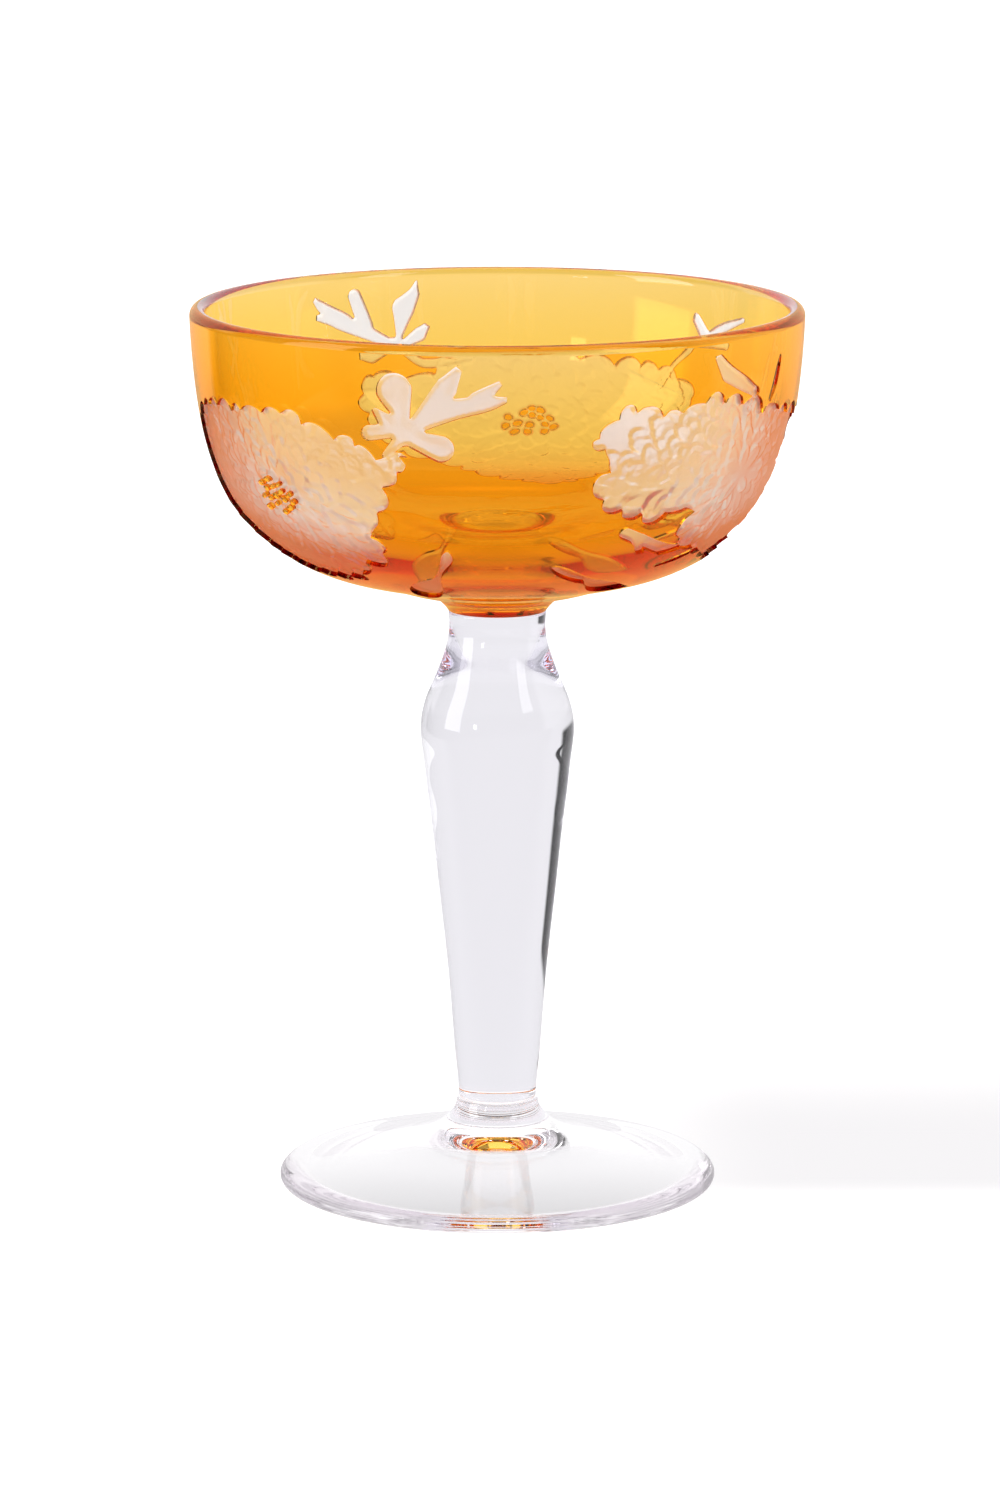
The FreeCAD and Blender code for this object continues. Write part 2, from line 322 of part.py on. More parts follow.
        (-10.07, 4.77), (-9.93, 4.21), (-9.59, 3.83), (-7.19, 2.63), (-6.55, 2.20),
        (-5.99, 1.55), (-4.71, -0.38), (-4.39, -0.60), (-3.99, -0.60), (-3.67, -0.35),
        (-3.55, -0.03), (-3.64, 0.53), (-3.51, 0.66), (-3.19, 0.56), (0.09, -1.16),
        (0.57, -1.29), (4.09, -0.58), (4.50, -0.27), (4.64, 0.21), (4.52, 0.61),
        (4.17, 0.92), (0.97, 1.27), (-4.23, 3.72), (-5.19, 4.31), (-6.23, 4.68),
        (-8.63, 5.83), (-9.11, 5.86), (-9.62, 5.65), (-9.95, 5.25),
    ], [
        (1.49, -4.75), (1.61, -4.99), (1.85, -5.06), (5.05, -4.13), (8.33, -2.36),
        (8.48, -2.19), (8.54, -1.95), (8.47, -1.71), (8.33, -1.57), (8.09, -1.48),
        (7.85, -1.53), (4.49, -2.97), (1.69, -4.44), (1.53, -4.59),
    ]],
    "low_mid_leaf": [[
        (-9.20, 3.52), (-7.00, 1.83), (-4.61, 0.27), (-2.69, -0.51), (-1.65, -2.67),
        (0.06, -4.96), (2.58, -6.44), (4.49, -6.63), (6.82, -6.28), (8.35, -5.20),
        (4.56, -1.89), (1.70, -0.17), (-1.02, 0.86), (-3.35, 2.06), (-6.35, 4.23),
        (-8.61, 5.71), (-10.20, 6.42), (-11.15, 6.35), (-10.90, 5.29),
    ]],
    "low_left_leaf": [[
        (4.15, 9.85), (3.47, 8.86), (2.91, 7.02), (2.19, 4.93), (1.21, 2.64),
        (-0.07, 1.56), (-1.58, 0.94), (-3.41, -0.66), (-4.99, -3.01), (-5.33, -5.71),
        (-5.32, -9.98), (-6.07, -16.16), (-4.17, -15.13), (-0.68, -7.60), (0.71, -4.05),
        (1.15, -1.30), (1.64, 1.76), (2.87, 4.02), (4.30, 5.97), (5.16, 7.69),
        (5.31, 9.20), (4.85, 10.12),
    ]],
}
# Outline points closer than this to the line through their neighbours are dropped, in mm.
OUTLINE_TOLERANCE = 0.1

# Oval seeds of casing left standing at the heart of a flower:
# (across, up, half length, half width, turn in degrees).
SEEDS = {
    "left_flower": [
        (-3.14, -0.25, 0.79, 0.44, 27.0), (-3.04, 2.02, 0.74, 0.48, -6.0),
        (-2.70, -2.26, 0.76, 0.44, -22.0), (-1.91, 1.20, 0.72, 0.40, -25.0),
        (-1.47, -0.46, 0.71, 0.47, -5.0), (-1.13, 2.86, 0.78, 0.40, -14.0),
        (-0.24, -1.33, 0.63, 0.43, 11.0), (-0.16, 1.69, 0.78, 0.41, 7.0),
        (0.18, 0.11, 0.80, 0.47, -21.0), (1.25, -2.65, 0.73, 0.48, -7.0),
        (1.33, 2.19, 0.64, 0.40, 23.0), (1.46, 0.85, 0.80, 0.47, 24.0),
        (1.90, -0.32, 0.76, 0.46, -32.0), (2.80, -1.72, 0.68, 0.49, -2.0),
        (3.33, 0.62, 0.71, 0.49, 23.0), (3.90, -0.61, 0.67, 0.46, -10.0),
    ],
    "back_flower": [
        (-4.18, -0.83, 0.76, 0.44, -17.0), (-3.34, 0.82, 0.68, 0.44, 27.0),
        (-2.67, -0.40, 0.69, 0.44, 34.0), (-2.59, -1.76, 0.69, 0.47, -26.0),
        (-1.72, 0.94, 0.63, 0.43, 29.0), (-1.62, 2.36, 0.79, 0.50, 23.0),
        (-0.17, 1.43, 0.65, 0.47, 24.0), (-0.05, 2.66, 0.64, 0.43, -3.0),
        (0.23, -0.62, 0.66, 0.48, -5.0), (0.49, -1.89, 0.62, 0.47, 21.0),
        (1.29, 1.88, 0.77, 0.45, -28.0), (2.43, -0.28, 0.80, 0.44, -13.0),
        (2.86, -1.96, 0.80, 0.41, -18.0), (4.11, 0.85, 0.62, 0.50, 23.0),
        (4.50, -0.77, 0.67, 0.50, -20.0),
    ],
}


# --------------------------------------------------------- pole expressions
def share_of(alias, value):
    """Expression for a value in proportion to one dimension."""
    return "Dims.%s * %.6f" % (alias, value / SIZE[alias])


def between(low, high, value):
    """Expression for a value at a fixed share of the way between two dimensions."""
    share = (value - SIZE[low]) / (SIZE[high] - SIZE[low])
    return "Dims.%s + (Dims.%s - Dims.%s) * %.6f" % (low, high, low, share)


def outer_expressions():
    return [(share_of("RimRadius", radius), between("CollarHeight", "BowlTopHeight", height))
            for radius, height in OUTER]


def skin_expressions():
    """Each pole is set off from its partner on the outside of the bowl."""
    thickness = SIZE["SkinThickness"]
    rows = []
    for outer, skin, (radius_text, height_text) in zip(OUTER, SKIN, outer_expressions()):
        inward = (outer[0] - skin[0]) / thickness
        upward = (skin[1] - outer[1]) / thickness
        rows.append(("%s - Dims.SkinThickness * %.6f" % (radius_text, inward),
                     "%s + Dims.SkinThickness * %.6f" % (height_text, upward)))
    return rows


def lip_expressions(poles):
    """Poles placed across the wall thickness and up the lip height."""
    rows = []
    for radius, height in poles:
        inward = (SIZE["RimRadius"] - radius) / SIZE["LipThickness"]
        upward = (height - SIZE["BowlTopHeight"]) / SIZE["LipHeight"]
        rows.append(("Dims.RimRadius - Dims.LipThickness * %.6f" % inward,
                     "Dims.BowlTopHeight + Dims.LipHeight * %.6f" % upward))
    return rows


def cavity_expressions():
    top_radius = CAVITY[-1][0]
    return [("(Dims.RimRadius - Dims.LipThickness) * %.6f" % (radius / top_radius),
             between("CavityFloorHeight", "BowlTopHeight", height))
            for radius, height in CAVITY]


def stem_expressions():
    rows = []
    for radius, height in STEM:
        if height > NECK_POLES_ABOVE:
            alias = "NeckRadius"
        elif height > SHOULDER_POLES_ABOVE:
            alias = "ShoulderRadius"
        else:
            alias = "WaistRadius"
        rows.append((share_of(alias, radius), between("StemBottomHeight", "CollarHeight", height)))
    return rows


# ---------------------------------------------------------- profile sketches
# Sketcher's numbers for the points of a curve and for the sketch axes.
START, END, CENTRE = 1, 2, 3
H_AXIS, V_AXIS = -1, -2
ON_AXIS = 1e-9  # coordinates below this lie on an axis


def spline_of(poles):
    """Clamped cubic B-spline with evenly spaced knots."""
    spans = len(poles) - 3
    curve = Part.BSplineCurve()
    curve.buildFromPolesMultsKnots(
        [Vector(radius, height, 0) for radius, height in poles],
        [4] + [1] * (spans - 1) + [4],
        [i / spans for i in range(spans + 1)], False, 3)
    return curve


def start_body(name):
    """Body with an empty profile sketch, x the radius and y the height."""
    body = doc.addObject("PartDesign::Body", name)
    sketch = doc.addObject("Sketcher::SketchObject", name + "_profile")
    body.addObject(sketch)
    plane = [o for o in body.Origin.OriginFeatures if o.Role == "XZ_Plane"][0]
    sketch.AttachmentSupport = [(plane, "")]
    sketch.MapMode = "FlatFace"
    return body, sketch


def add_spline(sketch, poles, expressions, free_end=False):
    """Spline with every pole held at a distance read from the spreadsheet.
    With free_end the last pole is left to a coincidence with its neighbour."""
    spline = sketch.addGeometry(spline_of(poles), False)
    first = sketch.GeometryCount
    sketch.exposeInternalGeometry(spline)
    circles = [i for i in range(first, sketch.GeometryCount)
               if isinstance(sketch.Geometry[i], Part.Circle)]
    if free_end:
        circles.pop()
    for (radius, height), (radius_text, height_text), circle in zip(poles, expressions, circles):
        for kind, value, text, axis in (("DistanceX", radius, radius_text, V_AXIS),
                                        ("DistanceY", height, height_text, H_AXIS)):
            if value < ON_AXIS:
                sketch.addConstraint(Sketcher.Constraint("PointOnObject", circle, CENTRE, axis))
            else:
                index = sketch.addConstraint(
                    Sketcher.Constraint(kind, H_AXIS, START, circle, CENTRE, value))
                sketch.setExpression("Constraints[%d]" % index, text)
    return spline


def add_line(sketch, start, end):
    return sketch.addGeometry(Part.LineSegment(Vector(*start, 0), Vector(*end, 0)), False)


def forward(curve):
    return curve, START, END


def backward(curve):
    return curve, END, START


def close_loop(sketch, pieces, level, on_axis):
    """Join the pieces end to end, keep some lines level and some points on the Z axis."""
    for (curve, _, end), (following, start, _) in zip(pieces, pieces[1:] + pieces[:1]):
        sketch.addConstraint(Sketcher.Constraint("Coincident", curve, end, following, start))
    for line in level:
        sketch.addConstraint(Sketcher.Constraint("Horizontal", line))
    for line, point in on_axis:
        sketch.addConstraint(Sketcher.Constraint("PointOnObject", line, point, V_AXIS))


def turn(body, sketch):
    turned = doc.addObject("PartDesign::Revolution", body.Name + "_turned")
    body.addObject(turned)
    turned.Profile = sketch
    turned.ReferenceAxis = (sketch, ["V_Axis"])
    turned.Angle = 360
    body.Tip = turned


# ------------------------------------------------------------- turned pieces
def make_liner():
    """Clear inner layer of the bowl, with the inner half of the lip."""
    body, sketch = start_body("bowl_liner")
    base_centre = (0.0, SKIN[0][1])
    skin = add_spline(sketch, SKIN, skin_expressions())
    step = add_line(sketch, SKIN[-1], LIP_IN[0])
    lip = add_spline(sketch, LIP_IN, lip_expressions(LIP_IN), free_end=True)
    cavity = add_spline(sketch, CAVITY, cavity_expressions())
    axis = add_line(sketch, CAVITY[0], base_centre)
    base = add_line(sketch, base_centre, SKIN[0])
    close_loop(sketch,
               [forward(skin), forward(step), forward(lip), backward(cavity), forward(axis),
                forward(base)],
               level=[base], on_axis=[(axis, END)])
    turn(body, sketch)
    return body


def make_blank():
    """Coloured casing before carving, with the outer half of the lip."""
    body, sketch = start_body("amber_blank")
    inner_centre = (0.0, SKIN[0][1])
    outer_centre = (0.0, OUTER[0][1])
    outer = add_spline(sketch, OUTER, outer_expressions())
    skin = add_spline(sketch, SKIN, skin_expressions())
    lip = add_spline(sketch, LIP_OUT, lip_expressions(LIP_OUT), free_end=True)
    step = add_line(sketch, LIP_OUT[0], SKIN[-1])
    inner_base = add_line(sketch, SKIN[0], inner_centre)
    axis = add_line(sketch, inner_centre, outer_centre)
    outer_base = add_line(sketch, outer_centre, OUTER[0])
    close_loop(sketch,
               [forward(outer), backward(lip), forward(step), backward(skin),
                forward(inner_base), forward(axis), forward(outer_base)],
               level=[inner_base, outer_base], on_axis=[(axis, START), (axis, END)])
    turn(body, sketch)
    return body


def make_spindle(name, poles, expressions):
    """Solid piece with flat ends, its side given from top to bottom."""
    body, sketch = start_body(name)
    top_centre = (0.0, poles[0][1])
    bottom_centre = (0.0, poles[-1][1])
    side = add_spline(sketch, poles, expressions)
    bottom = add_line(sketch, poles[-1], bottom_centre)
    axis = add_line(sketch, bottom_centre, top_centre)
    top = add_line(sketch, top_centre, poles[0])
    close_loop(sketch, [forward(side), forward(bottom), forward(axis), forward(top)],
               level=[bottom, top], on_axis=[(axis, START), (axis, END)])
    turn(body, sketch)
    return body


def make_merese():
    return make_spindle("stem_merese", MERESE, [
        (between("MereseTopRadius", "HubRadius", radius),
         between("HubHeight", "StemBottomHeight", height)) for radius, height in MERESE])


def make_foot():
    """Spreading foot, hollowed underneath inside a flat standing ring."""
    body, sketch = start_body("foot")
    top_centre = (0.0, FOOT[0][1])
    side = add_spline(sketch, FOOT, [
        (between("HubRadius", "FootRadius", radius), share_of("HubHeight", height))
        for radius, height in FOOT])
    hollow = add_spline(sketch, HOLLOW, [
        (share_of("HollowRadius", radius), share_of("HollowDepth", height))
        for radius, height in HOLLOW])
    ring = add_line(sketch, FOOT[-1], HOLLOW[0])
    axis = add_line(sketch, HOLLOW[-1], top_centre)
    top = add_line(sketch, top_centre, FOOT[0])
    close_loop(sketch,
               [forward(side), forward(ring), forward(hollow), forward(axis), forward(top)],
               level=[top], on_axis=[(axis, END)])
    turn(body, sketch)
    return body


# ------------------------------------------------- carving on the bowl surface
# Points along the outside of the bowl and the arc length to each of them.
PROFILE_STEPS = 1600
outer_curve = spline_of(OUTER)
samples = [outer_curve.value(i / PROFILE_STEPS) for i in range(PROFILE_STEPS + 1)]
arc_lengths = [0.0]
for before, after in zip(samples[:-1], samples[1:]):
    arc_lengths.append(arc_lengths[-1] + math.hypot(after.x - before.x, after.y - before.y))


def surface_at(arc):
    """Radius, height and outward lean from vertical in degrees at an arc length."""
    arc = min(max(arc, 0.0), arc_lengths[-1])
    low, high = 0, PROFILE_STEPS
    while high - low > 1:
        middle = (low + high) // 2
        if arc_lengths[middle] <= arc:
            low = middle
        else:
            high = middle
    share = (arc - arc_lengths[low]) / (arc_lengths[high] - arc_lengths[low])
    below, above = samples[low], samples[high]
    run, rise = above.x - below.x, above.y - below.y
    return below.x + run * share, below.y + rise * share, math.degrees(math.atan2(run, rise))


def thin_run(points):
    """Keep the ends of an open run and the points that stand off the line between them."""
    start, end = points[0], points[-1]
    run, rise = end[0] - start[0], end[1] - start[1]
    length = math.hypot(run, rise) + 1e-12
    farthest, split = 0.0, 0
    for i in range(1, len(points) - 1):
        across, up = points[i]
        distance = abs((across - start[0]) * rise - (up - start[1]) * run) / length
        if distance > farthest:
            farthest, split = distance, i
    if farthest < OUTLINE_TOLERANCE:
        return [start, end]
    return thin_run(points[:split + 1])[:-1] + thin_run(points[split:])


def thin_outline(points):
    """Thin a closed outline as two runs between its leftmost and rightmost points."""
    left = min(range(len(points)), key=lambda i: points[i][0])
    points = points[left:] + points[:left]
    right = max(range(len(points)), key=lambda i: points[i][0])
    return thin_run(points[:right + 1])[:-1] + thin_run(points[right:] + points[:1])[:-1]


def flatten(points, motif):
    """Project unrolled points onto the tangent plane of the bowl at the motif."""
    motif_arc = MOTIFS[motif][1]
    centre_radius, centre_height, lean = surface_at(motif_arc)
    sine, cosine = math.sin(math.radians(lean)), math.cos(math.radians(lean))
    flat = []
    for across, up in points:
        radius, height, _ = surface_at(motif_arc + up)
        angle = across / radius
        inward = centre_radius - radius * math.cos(angle)
        flat.append((radius * math.sin(angle),
                     -inward * sine + (height - centre_height) * cosine))
    return flat


def tangent_sketch(label, motif):
    """Sketch on the tangent plane at the motif, its normal pointing out of the bowl."""
    radius, height, lean = surface_at(MOTIFS[motif][1])
    sketch = doc.addObject("Sketcher::SketchObject", label)
    sketch.setExpression(
        "Placement",
        "placement(vector(0; 0; 0); rotation(vector(0; 0; 1); Dims.%s)) * "
        "placement(vector(0; %.4f; %.4f); rotation(vector(1; 0; 0); %.4f))"
        % (azimuth_alias(motif), -radius, height, 90.0 + lean))
    return sketch


def carving_tool(label, sketch):
    tool = doc.addObject("Part::Extrusion", label)
    tool.Base = sketch
    tool.DirMode = "Normal"
    tool.Solid = True
    tool.setExpression("LengthFwd", "Dims.WindowReachOut")
    tool.setExpression("LengthRev", "Dims.WindowReachIn")
    return tool


def carve_casing(blank):
    """Cut every window through the casing, one after another."""
    casing = blank
    for motif in MOTIFS:
        for number, outline in enumerate(OUTLINES[motif], start=1):
            corners = flatten(thin_outline(outline), motif)
            sketch = tangent_sketch("%s_outline_%d" % (motif, number), motif)
            for start, end in zip(corners, corners[1:] + corners[:1]):
                add_line(sketch, start, end)
            cut = doc.addObject("Part::Cut", "after_%s_%d" % (motif, number))
            cut.Base = casing
            cut.Tool = carving_tool("%s_tool_%d" % (motif, number), sketch)
            cut.Refine = False
            casing = cut
    casing.Label = "amber_overlay"
    return casing


def make_seeds(blank, motif):
    """Seeds of a flower: the casing kept only inside small ellipses."""
    sketch = tangent_sketch(motif + "_stud_outlines", motif)
    for across, up, half_length, half_width, angle in SEEDS[motif]:
        centre = Vector(*flatten([(across, up)], motif)[0], 0)
        along = Vector(math.cos(math.radians(angle)), math.sin(math.radians(angle)), 0)
        side = Vector(-along.y, along.x, 0)
        sketch.addGeometry(
            Part.Ellipse(centre + along * half_length, centre + side * half_width, centre), False)
    seeds = doc.addObject("Part::Common", motif + "_seeds")
    seeds.Base = blank
    seeds.Tool = carving_tool(motif + "_stud_tool", sketch)
    return seeds


# ------------------------------------------------------------ build and export
liner = make_liner()
blank = make_blank()
pieces = {
    "bowl_liner": liner,
    "stem": make_spindle("stem", STEM, stem_expressions()),
    "stem_merese": make_merese(),
    "foot": make_foot(),
    "amber_overlay": carve_casing(blank),
    "left_flower_seeds": make_seeds(blank, "left_flower"),
    "back_flower_seeds": make_seeds(blank, "back_flower"),
}
doc.recompute()

bad = [o.Name for o in doc.Objects if any(state in ("Invalid", "Error") for state in o.State)]
if bad:
    raise RuntimeError("features in error: " + ", ".join(bad))
os.makedirs("parts", exist_ok=True)
for node, piece in pieces.items():
    shape = piece.Shape
    if shape.isNull() or not shape.isValid():
        raise RuntimeError("bad shape: " + node)
    shape.exportStep("parts/%s.step" % node)
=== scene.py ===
# A stemmed glass: a bowl cased in amber, with flowers and leaves carved through to frosted
# clear glass, on a drawn stem, a button and a spread foot. It stands on z = 0 with its axis
# on Z and its front towards -Y. The glass is measured in mm, the studio in metres.
import math

import bpy
import numpy as np
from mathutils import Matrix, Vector
from mathutils.geometry import delaunay_2d_cdt


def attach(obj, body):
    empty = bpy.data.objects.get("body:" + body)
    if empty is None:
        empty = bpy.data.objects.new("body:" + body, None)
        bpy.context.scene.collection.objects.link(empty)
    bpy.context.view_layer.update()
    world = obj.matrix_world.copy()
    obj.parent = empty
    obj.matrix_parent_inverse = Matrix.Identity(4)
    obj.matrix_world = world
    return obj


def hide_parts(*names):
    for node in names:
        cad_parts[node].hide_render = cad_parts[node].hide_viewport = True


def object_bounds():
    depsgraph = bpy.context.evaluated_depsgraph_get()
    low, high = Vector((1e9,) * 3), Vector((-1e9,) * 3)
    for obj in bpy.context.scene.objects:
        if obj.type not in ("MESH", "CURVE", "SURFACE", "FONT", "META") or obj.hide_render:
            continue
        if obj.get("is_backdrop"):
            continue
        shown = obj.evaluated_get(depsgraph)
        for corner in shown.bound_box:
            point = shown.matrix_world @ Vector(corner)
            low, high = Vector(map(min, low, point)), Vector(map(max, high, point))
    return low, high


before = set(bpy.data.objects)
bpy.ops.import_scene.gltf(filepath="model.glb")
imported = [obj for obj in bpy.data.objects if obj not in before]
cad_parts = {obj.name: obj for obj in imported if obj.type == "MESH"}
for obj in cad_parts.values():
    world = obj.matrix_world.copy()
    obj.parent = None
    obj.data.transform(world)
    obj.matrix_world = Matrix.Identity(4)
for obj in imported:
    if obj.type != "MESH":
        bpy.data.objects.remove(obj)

bounds_at_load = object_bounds()
MM = 0.001
GAP = 0.004            # clear air between touching skins
NOMINAL_CASING = 0.6   # casing thickness that the amber's absorption is given for

# ------------------------------------------------------------------ profiles
# All profiles are (radius, height).
BASE_R, BASE_Z = 8.05, 96.3            # bottom of the bowl, top of the stem
RIM_R, RIM_Z = 50.1, 145.0             # where the casing starts to roll over the rim
CREST_R, CREST_Z = 48.75, 146.6
CAVITY_RIM_R = 47.35
STEM_FOOT_Z = 14.2                     # stem meets merese
COLLAR_R, COLLAR_Z = 8.52, 10.6        # merese meets foot
HOLLOW_R = 31.5                        # edge of the hollow under the foot

OUTER_PROFILE = [
    (BASE_R, BASE_Z), (8.5, 96.9), (9.15, 97.6), (10.3, 98.5), (14.5, 99.6), (19.4, 101),
    (28.1, 103.2), (34.6, 106.2), (40, 110.2), (43.85, 115), (46.2, 120.2), (47.9, 126),
    (49, 132), (49.66, 138), (49.95, 142), (RIM_R, RIM_Z)]
# Bezier control points of the rounded rim, casing side and cavity side
CASING_LIP = [(RIM_R, RIM_Z), (RIM_R, 145.9), (49.6, CREST_Z), (CREST_R, CREST_Z)]
LINER_LIP = [(48.744, CREST_Z - GAP), (47.9, CREST_Z - GAP), (CAVITY_RIM_R, 145.9),
             (CAVITY_RIM_R, RIM_Z)]
# distance up the outer profile, casing thickness
CASING_THICKNESS = [(0, 0.6), (3, 0.6), (8, 0.76), (20, 0.8), (34, 0.78), (42, 0.73),
                    (52, 0.64), (60.6, 0.54), (68.4, 0.43), (73, 0.34)]
CAVITY_PROFILE = [
    (0.0, 104.0), (5, 104.15), (10, 104.7), (15, 105.6), (20, 106.9), (25, 108.4),
    (29, 109.8), (32.5, 111.4), (35.6, 113.35), (38.3, 115.7), (40.85, 118.75),
    (42.85, 121.75), (44.62, 125.48), (45.76, 129.81), (46.53, 134.72), (47.02, 139.61),
    (CAVITY_RIM_R, RIM_Z)]
STEM_PROFILE = [
    (BASE_R, BASE_Z - GAP), (7.95, 95), (7.91, 94), (8.0, 92.5), (8.36, 90.5), (9.12, 88),
    (10.3, 85), (11.58, 82), (12.42, 79), (12.65, 76), (12.33, 73), (11.96, 70), (11.51, 66),
    (10.76, 60), (9.91, 52), (9.03, 44), (8.17, 36), (7.51, 28), (6.9, 20.5), (6.5, 16.5),
    (6.42, 15.2)]
STEM_END = [(6.42, 15.2), (6.4, 14.7), (6.3, 14.38), (6.1, STEM_FOOT_Z + GAP)]
MERESE_SHOULDER = [(6.15, STEM_FOOT_Z), (6.5, 14.12), (6.7, 13.85), (6.78, 13.5)]
MERESE_SKIRT = [(6.78, 13.5), (6.9, 12.9), (7.25, 12.1), (7.75, 11.4), (8.3, 10.8),
                (COLLAR_R, COLLAR_Z + GAP)]
FOOT_PROFILE = [
    (COLLAR_R, COLLAR_Z), (9.2, 9.98), (10.3, 9.25), (13, 8.0), (16.5, 6.9), (24.3, 4.8),
    (30, 3.72), (33.6, 3.12), (35.1, 2.65), (35.9, 1.95), (36.2, 1.2), (35.95, 0.45),
    (35.4, 0.06), (34.8, 0.0)]
FOOT_HOLLOW = [
    (HOLLOW_R, 0.0), (30.23, 0.266), (28.93, 0.559), (27.6, 0.873), (26.25, 1.202),
    (24.9, 1.541), (22.19, 2.224), (19.55, 2.894), (17.03, 3.547), (14.69, 4.18),
    (12.51, 4.777), (10.36, 5.313), (8.1, 5.762), (5.47, 6.094), (2.09, 6.276), (0.0, 6.3)]

# ------------------------------------------------------------ mesh densities
OUTLINE_STEP = 0.3
CASING_SPACING = 1.0
LINER_SPACING = 1.4
CARVED_SPACING = 0.36
CASING_LIP_POINTS = 10
LINER_LIP_POINTS = 14
CAVITY_POINTS = 110
CAVITY_SEGMENTS = 288
STEM_POINTS = 150
LATHE_SEGMENTS = 256
STUD_POINTS = 22
SEAM = math.radians(-115.0)            # where the unrolled bowl is cut
END_TOLERANCE = 1e-4                   # how near an end of the profile counts as on it


def arc_lengths(points, power=1.0):
    """Running sum of chord length ** power."""
    return np.r_[0, np.cumsum(np.hypot(*np.diff(points, axis=0).T) ** power)]


def natural_spline(points, count, power=1.0):
    """Natural cubic through the points, evenly sampled in its chord parameter."""
    points = np.array(points, float)
    knots = arc_lengths(points, power)
    last = len(knots) - 1
    width = np.diff(knots)
    slope = np.diff(points, axis=0) / width[:, None]
    matrix = np.zeros((last + 1, last + 1))
    right = np.zeros((last + 1, 2))
    matrix[0, 0] = matrix[-1, -1] = 1
    for i in range(1, last):
        matrix[i, i - 1:i + 2] = width[i - 1], 2 * (width[i - 1] + width[i]), width[i]
        right[i] = 3 * (slope[i] - slope[i - 1])
    bend = np.linalg.solve(matrix, right)
    at = np.linspace(0, knots[-1], count)
    i = np.clip(np.searchsorted(knots, at, side="right") - 1, 0, last - 1)
    offset = (at - knots[i])[:, None]
    span = width[i][:, None]
    linear = slope[i] - span * (2 * bend[i] + bend[i + 1]) / 3
    cubic = (bend[i + 1] - bend[i]) / (3 * span)
    return points[i] + linear * offset + bend[i] * offset ** 2 + cubic * offset ** 3


def bezier(controls, count):
    t = np.linspace(0, 1, count)[:, None]
    start, pull_a, pull_b, end = np.array(controls, float)
    return (start * (1 - t) ** 3 + 3 * pull_a * t * (1 - t) ** 2
            + 3 * pull_b * t ** 2 * (1 - t) + end * t ** 3)


def unit_normals(points):
    """Normals (radius, height) on the right of a profile's direction of travel."""
    tangent = np.gradient(points, axis=0)
    tangent /= np.linalg.norm(tangent, axis=1)[:, None]
    return np.c_[tangent[:, 1], -tangent[:, 0]]


def turned(theta, radius, height):
    """Turn profile values about Z; theta runs from the front (-Y) towards +X."""
    return np.c_[radius * np.sin(theta), -radius * np.cos(theta), np.full(len(theta), height)]


# The unrolled bowl has the domain (theta, q), where q adds up d(arc) / radius, so a small
# shape has the same proportions there as on the glass.
PROFILE = natural_spline(OUTER_PROFILE, 4001)
PROFILE_NORMAL = unit_normals(PROFILE)
PROFILE_ARC = arc_lengths(PROFILE)
PROFILE_Q = np.r_[0, np.cumsum(np.diff(PROFILE_ARC) / (0.5 * (PROFILE[1:, 0] + PROFILE[:-1, 0])))]
ARC_END = float(PROFILE_ARC[-1])


def along(values, arc):
    return np.interp(arc, PROFILE_ARC, values)


def arc_at(q):
    return np.interp(q, PROFILE_Q, PROFILE_ARC)


def q_at(arc):
    return along(PROFILE_Q, arc)


def radius_at(arc):
    return along(PROFILE[:, 0], arc)


def casing_thickness(arc):
    return np.interp(arc, *zip(*CASING_THICKNESS))


def bowl_surface(theta, arc, depth):
    """Points at a depth below the bowl's skin, and the outward normals there."""
    normal_r = along(PROFILE_NORMAL[:, 0], arc)
    normal_z = along(PROFILE_NORMAL[:, 1], arc)
    radius = radius_at(arc) - normal_r * depth
    height = along(PROFILE[:, 1], arc) - normal_z * depth
    return turned(theta, radius, height), turned(theta, normal_r, normal_z)


# ------------------------------------------------------------ carved design
# Centre of each motif: degrees round from the front towards +X, mm up the profile.
CENTRES = {
    "left_flower": (-50.0, 47.0),
    "right_flower": (60.0, 49.0),
    "back_flower": (172.5, 46.5),
    "front_sprig": (-11.4, 63.3),
    "back_left_sprig": (202.4, 64.7),
    "back_right_sprig": (132.5, 61.5),
    "right_sprig": (54.9, 65.6),
    "low_right_leaf": (39.1, 37.3),
    "low_mid_leaf": (28.7, 28.7),
    "low_left_leaf": (-17.1, 29.0),
}
